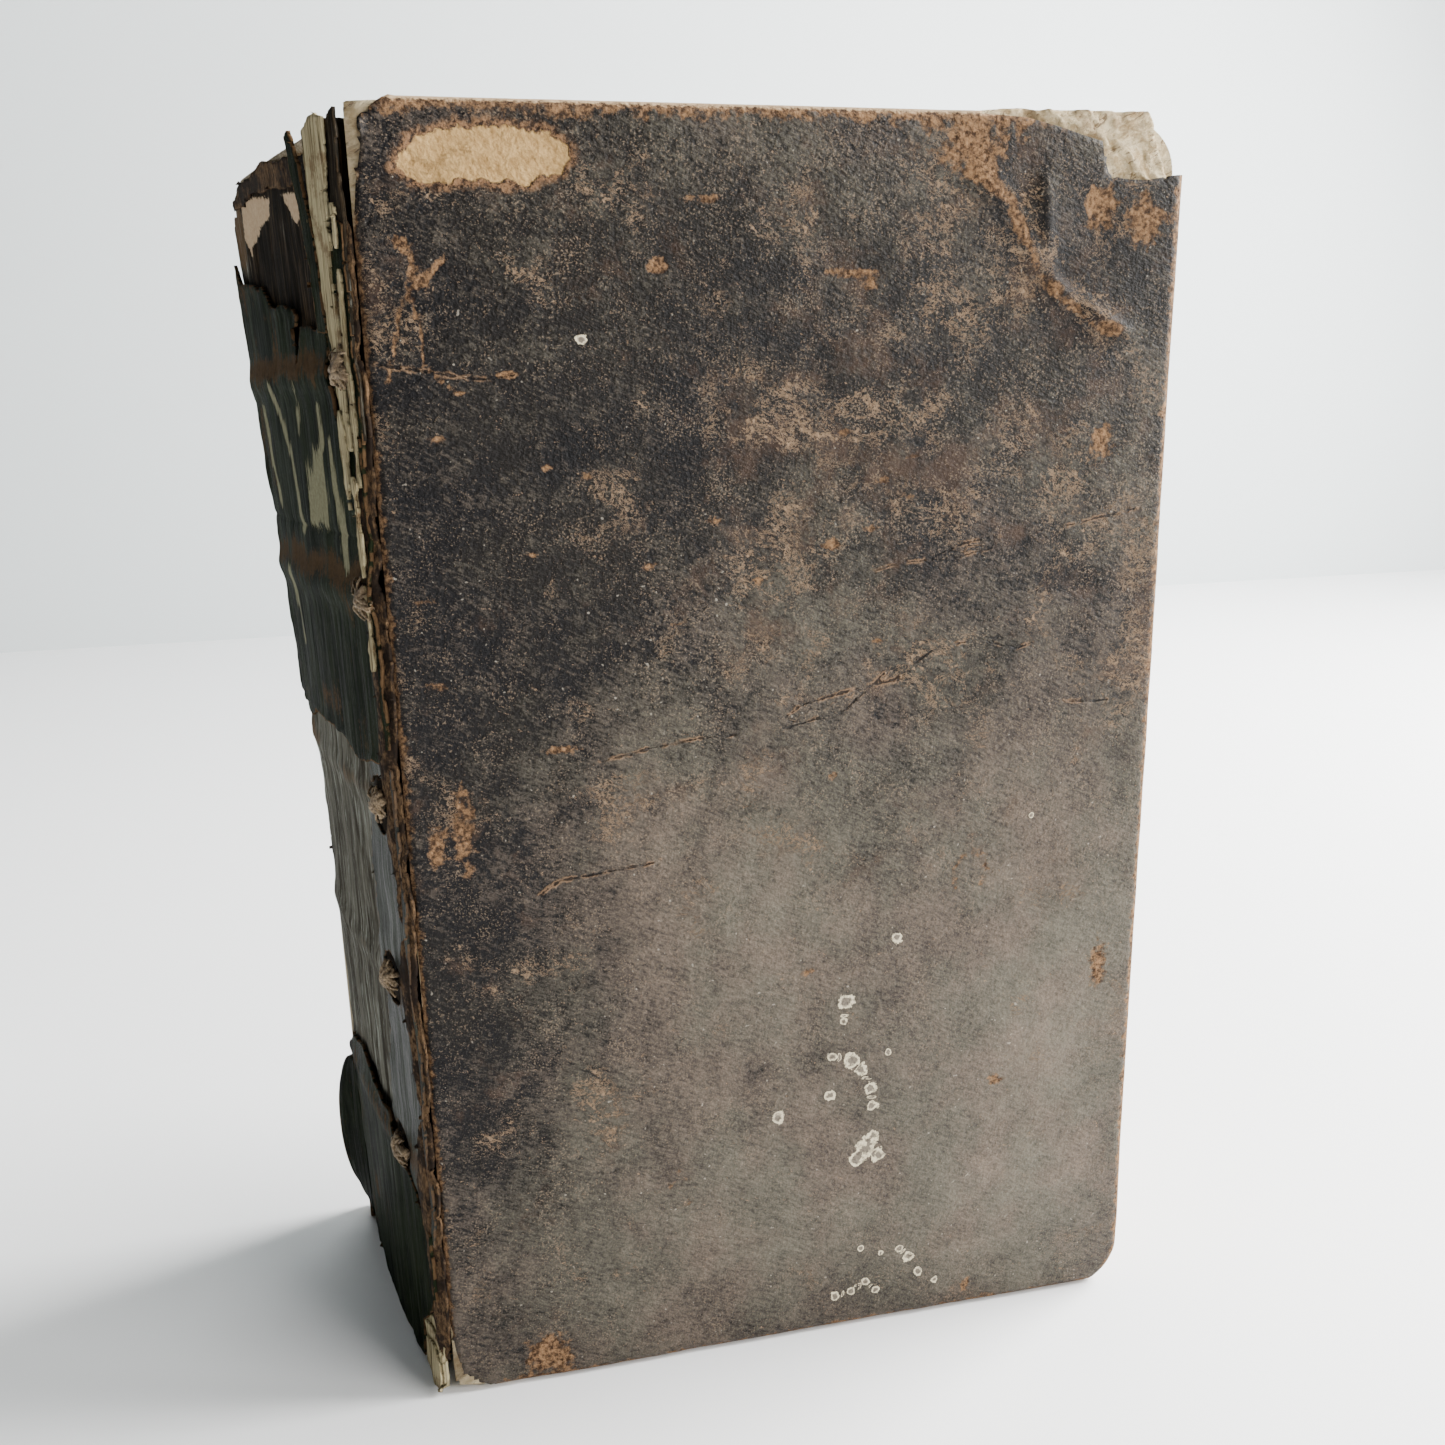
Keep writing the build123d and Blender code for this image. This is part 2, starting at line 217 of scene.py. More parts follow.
# ---- Shader building ----
class Shader:
    """A material under construction: short calls that add nodes and wire them."""

    def __init__(self, name):
        self.material = bpy.data.materials.new(name)
        self.material.use_nodes = True
        self.tree = self.material.node_tree
        self.tree.nodes.clear()
        self.output = self.node("OutputMaterial")
        self.bsdf = self.node("BsdfPrincipled")
        self.tree.links.new(self.bsdf.outputs["BSDF"], self.output.inputs["Surface"])
        place = self.node("TexCoord")
        self.place = self.vector("MULTIPLY", place.outputs["Object"], (1 / MM, 1 / MM, 1 / MM))

    def node(self, kind):
        return self.tree.nodes.new(f"ShaderNode{kind}")

    def put(self, socket, value):
        if isinstance(value, bpy.types.NodeSocket):
            self.tree.links.new(value, socket)
        else:
            socket.default_value = value

    def vector(self, operation, a, b):
        node = self.node("VectorMath")
        node.operation = operation
        self.put(node.inputs[0], a)
        self.put(node.inputs[1], b)
        return node.outputs["Value"] if operation in ("LENGTH", "DISTANCE") else node.outputs["Vector"]

    def math(self, operation, a, b=0.0):
        node = self.node("Math")
        node.operation = operation
        self.put(node.inputs[0], a)
        self.put(node.inputs[1], b)
        return node.outputs[0]

    def times(self, a, b):
        return self.math("MULTIPLY", a, b)

    def add(self, *terms, clamp=False):
        """Sum of patterns, in which a pair is a pattern and its weight; clamp keeps it from 0 to 1."""
        values = [self.times(*term) if isinstance(term, tuple) else term for term in terms]
        total = values[0]
        for value in values[1:]:
            total = self.math("ADD", total, value)
        total.node.use_clamp = clamp
        return total

    def overlay(self, base, layers):
        """A number under layers, each a share and the number where that share is 1."""
        for share, value in layers:
            base = self.add(self.times(base, self.math("SUBTRACT", 1.0, share)), (share, value))
        return base

    def field(self, name, output="Fac"):
        node = self.node("Attribute")
        node.attribute_name = name
        return node.outputs[output]

    def noise(self, size, detail=4.0, roughness=0.55, place=None, distortion=0.0):
        """Noise whose cells are size mm wide, or size mm along each axis."""
        node = self.node("TexNoise")
        place = self.place if place is None else place
        if isinstance(size, tuple):
            place = self.vector("DIVIDE", place, size)
            size = 1.0
        self.put(node.inputs["Vector"], place)
        node.inputs["Scale"].default_value = 1 / size
        node.inputs["Detail"].default_value = detail
        node.inputs["Roughness"].default_value = roughness
        node.inputs["Distortion"].default_value = distortion
        return node.outputs["Fac"]

    def cells(self, size):
        """Distance in a Voronoi pattern whose cells are size mm wide."""
        node = self.node("TexVoronoi")
        self.put(node.inputs["Vector"], self.place)
        node.inputs["Scale"].default_value = 1 / size
        return node.outputs["Distance"]

    def turned(self, degrees):
        """The place, turned about the thickness of the book, for slanting patterns."""
        node = self.node("Mapping")
        self.put(node.inputs["Vector"], self.place)
        node.inputs["Rotation"].default_value = (0, math.radians(degrees), 0)
        return node.outputs["Vector"]

    def around(self, value, spread):
        """A 0 to 1 pattern as a shift either side of nothing."""
        return self.times(self.math("SUBTRACT", value, 0.5), spread)

    def ramp(self, value, low, high, at_low=0.0, at_high=1.0):
        """Smoothly takes value from low..high to at_low..at_high."""
        node = self.node("MapRange")
        node.interpolation_type = "SMOOTHSTEP"
        for socket, given in zip(node.inputs, (value, low, high, at_low, at_high)):
            self.put(socket, given)
        return node.outputs[0]

    def mix(self, share, a, b, kind="MIX"):
        """Colour mix: a where share is 0, b where it is 1."""
        node = self.node("Mix")
        node.data_type = "RGBA"
        node.blend_type = kind
        self.put(node.inputs["Factor"], share)
        for socket, given in (("A", a), ("B", b)):
            target = [s for s in node.inputs if s.name == socket and s.type == "RGBA"][0]
            self.put(target, given if isinstance(given, bpy.types.NodeSocket) else (*given, 1.0))
        return [s for s in node.outputs if s.type == "RGBA"][0]

    def finish(self, colour, roughness, height, depth_mm, sheen=0.0, specular=0.5):
        """Wires colour, roughness and a bump of the given depth, and returns the material."""
        self.put(self.bsdf.inputs["Base Color"], colour)
        self.put(self.bsdf.inputs["Roughness"], roughness)
        self.bsdf.inputs["Specular IOR Level"].default_value = specular
        self.bsdf.inputs["Sheen Weight"].default_value = sheen
        bump = self.node("Bump")
        bump.inputs["Distance"].default_value = depth_mm * MM
        self.put(bump.inputs["Height"], height)
        self.tree.links.new(bump.outputs["Normal"], self.bsdf.inputs["Normal"])
        return self.material


def cover_leather_material(name):
    """Dark calf: mottled brown, fine grain, tan scuffs, cracks, a cream loss, drips and worn edges, and on
    the front cover some painted sheen, painted shade and a painted glint along the fore-edge.
    It reads the fields tone, scuffs, edge, bald, cream, crack, crack_gap, drip and drip_gap."""
    s = Shader(name)
    slant = s.turned(-24)
    broad = s.noise(19.0, 4.0, 0.6)
    mottle = s.noise(5.0, 5.0, 0.65)
    fibre = s.noise((1.7, 1.7, 0.55), 4.0, 0.65, slant)
    fine = s.noise(0.75, 4.0, 0.7)
    grit = s.noise(0.30, 2.0, 0.6)
    pores = s.cells(0.62)
    scuffs = s.field("scuffs")

    # Body colour, from near-black plum to grey olive-brown; on the front cover its tone also carries painted
    # sheen and shade
    tone = s.add(s.field("tone"), s.around(mottle, 0.8), s.around(fibre, 1.3), s.around(fine, 0.7),
                 s.around(grit, 0.7), clamp=True)
    dark = s.mix(s.ramp(broad, 0.4, 0.6), (0.0036, 0.0034, 0.0040), (0.0070, 0.0056, 0.0048))
    pale = s.mix(s.ramp(broad, 0.38, 0.62), (0.150, 0.116, 0.088), (0.128, 0.114, 0.086))
    colour = s.mix(tone, dark, pale)

    # Red-brown where the surface is rubbed thin
    rubbed = s.ramp(s.add(s.noise(9.0, 6.0, 0.75), (scuffs, 0.09)), 0.54, 0.72)
    thin = s.mix(fine, (0.022, 0.012, 0.008), (0.095, 0.055, 0.034))
    colour = s.mix(s.times(rubbed, 0.55), colour, thin)

    # Fine tan speckle over all of it, flakes and broken veins where the scuffs are, and pale dust
    specks = s.add(grit, (scuffs, 0.045), s.around(s.noise(7.0, 6.0, 0.75), 0.6))
    specks = s.ramp(specks, 0.60, 0.69)
    colour = s.mix(s.times(specks, 0.7), colour, (0.17, 0.125, 0.085))
    cluster = s.ramp(s.add(s.noise(14.0, 4.0, 0.6), (scuffs, 0.11)), 0.50, 0.68)
    chips = s.noise((3.0, 3.0, 1.4), 6.0, 0.8, slant, 0.8)
    flakes = s.add((chips, 0.6), (s.noise(0.5, 3.0, 0.75), 0.4), (cluster, 0.075))
    flakes = s.ramp(flakes, 0.598, 0.63)
    vein = s.math("ABSOLUTE", s.math("SUBTRACT", s.noise((7.0, 7.0, 4.5), 7.0, 0.75, slant, 0.5), 0.5))
    vein = s.math("SUBTRACT", vein, s.times(cluster, 0.011))
    vein = s.times(s.ramp(vein, 0.0, 0.006, 1.0, 0.0), s.ramp(cluster, 0.15, 0.6))
    flakes = s.math("MAXIMUM", flakes, s.times(vein, s.ramp(fine, 0.35, 0.5)))
    colour = s.mix(s.times(flakes, 0.9), colour, s.mix(fine, (0.075, 0.046, 0.028), (0.40, 0.270, 0.165)))
    dust = s.ramp(s.noise(0.8, 1.0, 0.5), 0.74, 0.80)
    colour = s.mix(s.times(dust, 0.6), colour, (0.30, 0.27, 0.22))

    # Worn edges and rubbed spots: orange-brown suede with darker shreds; the band along the fore-edge is
    # partly a painted glint of light from behind
    edge = s.add(s.field("edge"), s.around(s.noise(2.4, 6.0, 0.75), 2.2))
    edge = s.ramp(edge, 0.45, 0.75)
    suede = s.mix(s.ramp(fine, 0.35, 0.65), (0.030, 0.016, 0.009), (0.24, 0.138, 0.070))
    colour = s.mix(edge, colour, suede)
    bald = s.ramp(s.add(s.field("bald"), s.around(fine, 0.9)), 0.35, 0.6)
    colour = s.mix(bald, colour, s.mix(fine, (0.20, 0.12, 0.06), (0.52, 0.39, 0.24)))

    # Cream patch where the grain layer is gone, with a brown torn rim
    loss = s.add(s.field("cream"), s.around(s.noise(2.6, 5.0, 0.65), 3.4))
    rim = s.ramp(loss, -1.5, -0.3)
    loss = s.ramp(loss, -0.1, 0.2)
    colour = s.mix(rim, colour, s.mix(s.ramp(fine, 0.4, 0.6), (0.020, 0.011, 0.007), (0.20, 0.11, 0.055)))
    nap = s.noise((0.7, 0.7, 1.6), 5.0, 0.7, s.turned(20))
    flesh = s.mix(s.ramp(nap, 0.3, 0.7), (0.27, 0.160, 0.062), (0.50, 0.325, 0.140))
    colour = s.mix(loss, colour, flesh)

    # Cracks: a broken dark line with a tan lip
    crack = s.vector("LENGTH", s.field("crack", "Vector"), (0, 0, 0))
    crack = s.add(crack, s.around(s.noise(1.6, 4.0, 0.7), 1.5))
    near = s.math("LESS_THAN", s.field("crack_gap"), 1.9)
    near = s.times(near, s.ramp(s.noise(6.0, 3.0, 0.6), 0.40, 0.52))
    line = s.times(s.ramp(crack, 0.04, 0.22, 1.0, 0.0), near)
    lip = s.times(s.ramp(crack, 0.15, 0.55, 1.0, 0.0), near)
    lip = s.times(lip, s.ramp(s.noise(3.0, 4.0), 0.46, 0.58))
    colour = s.mix(s.times(lip, 0.75), colour, (0.24, 0.145, 0.08))
    colour = s.mix(s.times(line, 0.9), colour, (0.004, 0.003, 0.003))

    # Dried drips: pale rims round a greyer middle
    drip = s.vector("LENGTH", s.field("drip", "Vector"), (0, 0, 0))
    drip = s.add(drip, s.around(s.noise(1.1, 3.0, 0.6), 1.6))
    wet = s.math("LESS_THAN", s.field("drip_gap"), 1.5)
    disc = s.times(s.ramp(drip, 0.88, 1.02, 1.0, 0.0), wet)
    middle = s.ramp(drip, 0.40, 0.66, 1.0, 0.0)
    colour = s.mix(s.times(disc, s.ramp(fine, 0.36, 0.5, 0.35, 0.95)), colour,
                   s.mix(middle, (0.64, 0.56, 0.39), (0.16, 0.135, 0.105)))

    height = s.add((pores, 0.3), (fine, 0.6), (grit, 0.35), (fibre, 0.8), (mottle, 0.9), (flakes, -0.5),
                   (loss, -0.8), (line, -1.6), (lip, 0.4), (disc, 0.4), (edge, -0.4))
    rough = s.overlay(s.ramp(fine, 0.3, 0.7, 0.40, 0.60),
                      ((specks, 0.7), (flakes, 0.85), (edge, 0.9), (loss, 0.92), (disc, 0.7)))
    return s.finish(colour, rough, height, 0.32, specular=0.12)


def suede_material(name):
    """Flesh side of torn leather: orange-brown nap with dark shreds."""
    s = Shader(name)
    nap = s.noise((0.6, 0.6, 1.4), 6.0, 0.75)
    patch = s.noise(5.0, 5.0, 0.7)
    colour = s.mix(s.ramp(nap, 0.35, 0.68), (0.014, 0.009, 0.006), (0.165, 0.100, 0.052))
    colour = s.mix(s.ramp(patch, 0.46, 0.56, 0.0, 0.9), colour, (0.014, 0.010, 0.008))
    height = s.add(nap, (patch, 1.5))
    return s.finish(colour, 0.92, height, 0.5, specular=0.08)


def pasteboard_material(name):
    """Old pasteboard: cream and brown layers with fibres and dirt."""
    s = Shader(name)
    layers = s.noise((3.0, 0.22, 3.0), 4.0, 0.6)
    fibre = s.noise((2.6, 0.5, 0.5), 5.0, 0.7)
    dirt = s.noise(5.0, 5.0, 0.65)
    flake = s.noise((2.6, 2.6, 0.8), 6.0, 0.75, s.turned(30), 0.6)
    colour = s.mix(s.ramp(layers, 0.35, 0.65), (0.46, 0.33, 0.17), (0.72, 0.59, 0.37))
    colour = s.mix(s.ramp(fibre, 0.45, 0.75, 0.0, 0.6), colour, (0.80, 0.69, 0.46))
    colour = s.mix(s.ramp(dirt, 0.50, 0.66, 0.0, 0.6), colour, (0.24, 0.15, 0.07))
    colour = s.mix(s.ramp(flake, 0.44, 0.38, 0.0, 0.85), colour, (0.11, 0.06, 0.025))
    height = s.add((layers, 0.8), (flake, 2.0))
    return s.finish(colour, 0.92, height, 0.45, sheen=0.1, specular=0.15)


def paper_material(name, pale, brown, blotch):
    """Aged rag paper: soft tone changes, foxing, and browner towards the edges of the leaf."""
    s = Shader(name)
    cloud = s.noise(30.0, 4.0, 0.6)
    spot = s.noise(3.2, 4.0, 0.6)
    fibre = s.noise(0.5, 4.0, 0.6)
    tone = s.add((cloud, 0.6), (s.field("edge"), 0.6))
    colour = s.mix(s.ramp(tone, 0.2, 1.0), pale, brown)
    colour = s.mix(s.ramp(spot, 0.64, 0.78, 0.0, blotch), colour, (0.33, 0.19, 0.09))
    colour = s.mix(s.ramp(fibre, 0.3, 0.7, 0.0, 0.25), colour, brown)
    return s.finish(colour, 0.88, fibre, 0.06, specular=0.25)


def page_edge_material(name):
    """Edges of the stacked sheets: each sheet's own tint, grime and streaks."""
    s = Shader(name)
    tint = s.field("tint")
    grime = s.noise((14.0, 1.2, 14.0), 5.0, 0.6)
    streak = s.noise((2.5, 0.12, 2.5), 3.0, 0.6)
    colour = s.mix(tint, (0.30, 0.205, 0.115), (0.50, 0.38, 0.235))
    colour = s.mix(s.ramp(grime, 0.45, 0.75, 0.0, 0.75), colour, (0.20, 0.125, 0.065))
    colour = s.mix(s.ramp(streak, 0.4, 0.7, 0.0, 0.4), colour, (0.26, 0.17, 0.09))
    return s.finish(colour, 0.9, streak, 0.08, specular=0.2)


def spine_leather_material(name, gloss):
    """Near-black spine leather with a painted green cast of reflected light: upright creases, brown flaked
    bands, cream streaks, rubbed edges.
    """
    s = Shader(name)
    crease = s.noise((0.8, 0.8, 26.0), 5.0, 0.7)
    thread = s.noise((0.35, 0.35, 9.0), 4.0, 0.65)
    patch = s.noise((5.0, 5.0, 16.0), 4.0, 0.6)
    fine = s.noise(0.7, 5.0, 0.7)
    # Near-black leather; its green tint is a painted cast of reflected green light.
    dark = s.mix(s.ramp(patch, 0.42, 0.58), (0.0045, 0.0070, 0.0034), (0.0120, 0.0170, 0.0082))
    colour = s.mix(s.ramp(thread, 0.55, 0.75, 0.0, 0.6), dark, (0.040, 0.040, 0.024))
    brown = s.ramp(s.add(s.field("brown"), s.around(crease, 2.0), s.around(fine, 1.2)), 0.35, 0.75)
    colour = s.mix(s.times(brown, 0.9), colour,
                   s.mix(fine, (0.020, 0.012, 0.007), (0.115, 0.070, 0.035)))
    pale = s.ramp(s.add(s.field("cream"), s.around(crease, 5.0), s.around(thread, 2.0)), 0.0, 0.3)
    colour = s.mix(pale, colour, s.mix(fine, (0.085, 0.078, 0.042), (0.33, 0.32, 0.205)))
    edge = s.ramp(s.add(s.field("edge"), s.around(fine, 1.4)), 0.5, 0.85)
    colour = s.mix(edge, colour, s.mix(fine, (0.028, 0.016, 0.009), (0.16, 0.095, 0.048)))
    height = s.add((crease, 1.5), (fine, 0.5), (thread, 0.6), (pale, -0.6))
    rough = s.overlay(s.ramp(crease, 0.35, 0.65, 0.50, 0.78), ((brown, 0.85), (pale, 0.9), (edge, 0.9)))
    return s.finish(colour, rough, height, 0.4, specular=gloss)


def lining_material(name):
    """Bare spine: fibrous grey-brown back of the gatherings with glue, paper shreds, grime, painted
    highlights and shade on its fibres, and painted shade in hollows and holes.
    """
    s = Shader(name)
    strand = s.noise((0.8, 0.8, 13.0), 6.0, 0.75)
    shred = s.noise((1.9, 1.9, 20.0), 5.0, 0.7)
    fine = s.noise(0.6, 4.0, 0.6)
    colour = s.mix(s.ramp(shred, 0.38, 0.62), (0.030, 0.024, 0.016), (0.135, 0.130, 0.104))
    # Pale grey strands and near-black gaps between them: partly the fibres' own colours, partly a painted
    # highlight on the strands and painted shade between them.
    colour = s.mix(s.ramp(strand, 0.52, 0.64, 0.0, 0.95), colour, (0.29, 0.30, 0.255))
    colour = s.mix(s.ramp(strand, 0.33, 0.44, 0.9, 0.0), colour, (0.014, 0.010, 0.007))
    glue = s.ramp(s.add(s.field("brown"), s.around(shred, 1.2)), 0.4, 0.8)
    colour = s.mix(s.times(glue, 0.7), colour, (0.11, 0.062, 0.028))
    pale = s.ramp(s.add(s.field("cream"), s.around(fine, 1.4)), 0.0, 0.35)
    colour = s.mix(pale, colour, s.mix(fine, (0.36, 0.24, 0.15), (0.64, 0.50, 0.33)))
    # Near-black where the dark field is high: grime, and painted shade in the hollow below the head, in the
    # holes round the cord ends and in the joint gap.
    grime_and_shade = s.ramp(s.add(s.field("dark"), s.around(shred, 1.0)), 0.3, 0.7)
    grime_and_shade = s.times(grime_and_shade, s.math("SUBTRACT", 1.0, pale))
    grime = s.mix(s.ramp(strand, 0.45, 0.7), (0.0065, 0.0050, 0.0036), (0.060, 0.040, 0.022))
    colour = s.mix(grime_and_shade, colour, grime)
    height = s.add(strand, (shred, 0.7))
    return s.finish(colour, 0.9, height, 0.5, specular=0.06)


def split_board_material(name):
    """Split board and paper seen at its edge: olive-cream layers with dark lines between them."""
    s = Shader(name)
    layers = s.noise((0.5, 0.5, 16.0), 4.0, 0.65)
    fine = s.noise(0.6, 4.0, 0.65)
    colour = s.mix(s.ramp(layers, 0.35, 0.62), (0.16, 0.125, 0.065), (0.44, 0.38, 0.23))
    colour = s.mix(s.ramp(layers, 0.40, 0.31), colour, (0.018, 0.012, 0.008))
    stain = s.ramp(s.noise(4.0, 5.0, 0.7), 0.50, 0.66)
    colour = s.mix(s.times(stain, 0.7), colour, s.mix(fine, (0.05, 0.026, 0.012), (0.20, 0.12, 0.06)))
    height = s.add(layers, (fine, 0.4))
    return s.finish(colour, 0.92, height, 0.5, specular=0.08)


def twine_material(name, pale, dark):
    """Twisted fibre: slanting strands, darker between them, and darker patches."""
    s = Shader(name)
    strand = s.noise((0.35, 0.9, 0.35), 5.0, 0.65)
    colour = s.mix(s.ramp(strand, 0.35, 0.65), dark, pale)
    colour = s.mix(s.ramp(s.noise(4.0, 4.0), 0.5, 0.7, 0.0, 0.6), colour, dark)
    return s.finish(colour, 0.9, strand, 0.2, sheen=0.1, specular=0.2)


cover_leather = cover_leather_material("cover_leather")
suede = suede_material("suede")
spine_leather = spine_leather_material("spine_leather", 0.02)
glossy_leather = spine_leather_material("joint_leather", 0.35)
lining_surface = lining_material("spine_lining")
pasteboard = pasteboard_material("pasteboard")
page_edges = page_edge_material("text_paper")
endpaper = paper_material("endpaper", (0.60, 0.50, 0.35), (0.40, 0.29, 0.17), 0.6)
split_board = split_board_material("split_board")
hemp = twine_material("cord", (0.34, 0.25, 0.15), (0.07, 0.045, 0.025))
linen = twine_material("thread", (0.55, 0.46, 0.32), (0.22, 0.16, 0.09))


# ---- Covers ----
LEATHER_STEP = 0.75
LEATHER_THICKNESS = 0.55
EDGE_ROLL = 1.8
JOINT_ROLL = 0.9
# Rings of the leather from the face's edge over the side and in under the board: (depth, inset)
TURN_IN = (
    (2.6, -0.05), (3.6, 0.0), (4.3, 0.15), (4.65, 0.6), (4.7, 2.0), (4.7, 5.0), (4.7, 9.0), (4.6, 12.0),
)
# Rubbed corners at the joint: (height, direction inward, radius on the front cover, radius on the back cover)
JOINT_CORNERS = ((HEIGHT, -1, 2.2, 2.2), (0.0, 1, 3.6, 0.1))


def rounded_width(v, radius):
    """Width of a cover at height v, with rounded corners at the fore-edge."""
    past = np.maximum(np.maximum(v - (HEIGHT - radius), radius - v), 0)
    return WIDTH - radius + np.sqrt(np.maximum(radius ** 2 - past ** 2, 0))


def edge_ring(us, vs, inset):
    """The cover's outline at head, fore-edge and tail, drawn in by an inset: points and outward normals.
    It has one point for each grid point of the tail row, the fore-edge column and the head row."""
    radius = max(CORNER_RADIUS - inset, 1.0)
    across = us / WIDTH * (WIDTH - inset - radius)
    tail = np.stack([across, np.full_like(across, inset)], -1)
    head = np.stack([across, np.full_like(across, HEIGHT - inset)], -1)
    side = vs[1:-1]
    low, high = side < CORNER_RADIUS, side > HEIGHT - CORNER_RADIUS
    from_centre = np.where(low, side - CORNER_RADIUS, np.where(high, side - HEIGHT + CORNER_RADIUS, 0))
    slope = np.arcsin(np.clip(from_centre / CORNER_RADIUS, -1, 1))
    share = (side - CORNER_RADIUS) / (HEIGHT - 2 * CORNER_RADIUS)
    straight = inset + radius + share * (HEIGHT - 2 * (inset + radius))
    side_u = WIDTH - inset - radius + radius * np.cos(slope)
    arc_v = np.where(low, inset + radius, HEIGHT - inset - radius) + radius * np.sin(slope)
    side_v = np.where(low | high, arc_v, straight)
    ring = np.concatenate([tail, np.stack([side_u, side_v], -1), head[::-1]])
    down, up = np.zeros((len(us), 2)), np.zeros((len(us), 2))
    down[:, 1], up[:, 1] = -1, 1
    return ring, np.concatenate([down, np.stack([np.cos(slope), np.sin(slope)], -1), up])


def cover_shell(us, vs, relief, lost):
    """Skin of a cover: its face, rolled over the edges, down the sides and in over the inner face.
    Returns points as (u, depth, v), faces, and each point's (u, v)."""
    grid_v, grid_u = grid(vs, us)
    width = rounded_width(grid_v, CORNER_RADIUS)
    face_u = grid_u * width / WIDTH
    to_edge = np.minimum(np.minimum(grid_v, HEIGHT - grid_v), width - face_u)
    reach = np.clip(EDGE_ROLL - to_edge, 0, EDGE_ROLL)
    depth = EDGE_ROLL - np.sqrt(EDGE_ROLL ** 2 - reach ** 2)
    lip = np.clip(JOINT_ROLL - face_u, 0, JOINT_ROLL)
    depth = depth + 0.5 * (lip / JOINT_ROLL) ** 2
    push = relief(face_u, grid_v)
    face = np.stack([face_u, depth - push, grid_v], -1).reshape(-1, 3)
    flat = np.stack([face_u, grid_v], -1).reshape(-1, 2)
    rows, columns = grid_u.shape
    faces = [grid_faces(rows, columns)]
    index = np.arange(rows * columns).reshape(rows, columns)
    last = np.concatenate([index[0], index[1:-1, -1], index[-1, ::-1]])
    points, flats = [face], [flat]
    count = rows * columns
    for ring_depth, inset in TURN_IN:
        ring, out = edge_ring(us, vs, inset)
        ring_push = relief(ring[:, 0], ring[:, 1]) * (0.5 if inset < 0.5 else 0.0)
        ring = ring + out * ring_push[:, None]
        points.append(np.stack([ring[:, 0], np.full(len(ring), ring_depth), ring[:, 1]], -1))
        flats.append(edge_ring(us, vs, max(inset, 0))[0])
        new = np.arange(count, count + len(ring))
        faces.append(np.stack([last[:-1], new[:-1], new[1:], last[1:]], -1))
        last, count = new, count + len(ring)
    points, flats, faces = np.concatenate(points), np.concatenate(flats), np.concatenate(faces)
    for outline in lost:
        points, faces = cut_away(points, flats, faces, outline)
    return points, faces, flats


def cut_away(points, flats, faces, outline):
    """Takes away the faces inside an outline, and draws the nearest points onto its edge."""
    gap = inside_outline(flats[:, 0], flats[:, 1], outline)
    step_u, step_v = nearest_line(flats[:, 0], flats[:, 1], [list(outline) + [outline[0]]])[:2]
    close = np.abs(gap) < 0.38
    points[:, 0] += np.where(close, step_u, 0)
    points[:, 2] += np.where(close, step_v, 0)
    middle = flats[faces].mean(1)
    keep = inside_outline(middle[:, 0], middle[:, 1], outline) < 0
    return points, faces[keep]


def place_cover(points, front):
    """From (u, depth, v) on a cover to the frame, with its corners at the joint rubbed round. Every layer of
    a cover passes through here, so that they keep one outline."""
    points = points.copy()
    for end, inside, front_radius, back_radius in JOINT_CORNERS:
        radius = front_radius if front else back_radius
        past_u = np.maximum(radius - points[:, 0], 0)
        past_v = np.maximum(radius - inside * (points[:, 2] - end), 0)
        shrink = np.minimum(radius / np.maximum(np.hypot(past_u, past_v), radius), 1)
        both = past_u * past_v > 0
        points[:, 0] = np.where(both, radius - past_u * shrink, points[:, 0])
        points[:, 2] = np.where(both, end + inside * (radius - past_v * shrink), points[:, 2])
    edge_x, face_y, inward = (HINGE_X, FRONT_Y, 1) if front else (BACK_EDGE_X, BACK_Y, -1)
    return np.stack([edge_x + points[:, 0], face_y + inward * points[:, 1], points[:, 2]], -1)


# Marks on the front cover, in mm from its spine-side edge and from its tail
CREAM_OVAL = (
    (6.2, 190.8), (6.6, 192.8), (8.6, 194.8), (12.0, 195.8), (17.3, 196.4), (25.2, 195.9), (28.6, 194.2),
    (29.0, 192.2), (27.0, 190.4), (23.0, 189.2), (14.0, 189.6), (10.2, 189.0), (7.5, 189.6),
)
LOST_CORNER = ((87.7, 201.5), (87.7, 199.4), (95.2, 198.9), (101.1, 197.5), (103.8, 196.7), (107.0, 195.9),
               (107.5, 193.6), (108.4, 191.3), (111.2, 190.8), (114.4, 190.7), (118.8, 191.4), (123.0, 191.8),
               (123.0, 201.5))
LOST_AT_JOINT = (
    ((-1.0, 201.5), (-1.0, 184.0), (0.3, 185.0), (0.8, 189.0), (1.7, 193.0), (2.3, 197.5), (4.5, 199.2),
     (8.0, 201.5)),
    ((-1.0, -1.5), (-1.0, 14.0), (0.2, 13.0), (0.6, 8.5), (1.4, 4.8), (3.2, 2.2), (5.6, 1.0), (9.0, -1.5)),
)
FOLD_LIP = ((87.9, 191.7), (93.0, 186.8), (96.0, 181.4), (98.1, 177.3), (101.4, 174.2), (105.6, 171.0),
            (110.9, 169.2))
FOLD_CREST = ((98.3, 190.2), (99.0, 184.1), (99.9, 181.4), (98.8, 179.4), (100.1, 176.6), (104.2, 173.8),
              (107.5, 171.7), (112.5, 169.5))
TAN_LINES = (
    ((5.7, 182.3), (7.0, 179.1), (6.2, 175.2), (7.5, 171.3), (7.7, 166.1)),
    ((6.2, 175.2), (9.5, 177.6), (11.5, 180.0)),
    ((6.2, 175.2), (4.9, 172.7), (2.8, 163.5)),
    ((7.7, 166.1), (11.0, 162.5), (13.5, 161.8)),
    ((28.2, 181.4), (32.8, 184.0), (43.1, 189.2)),
)
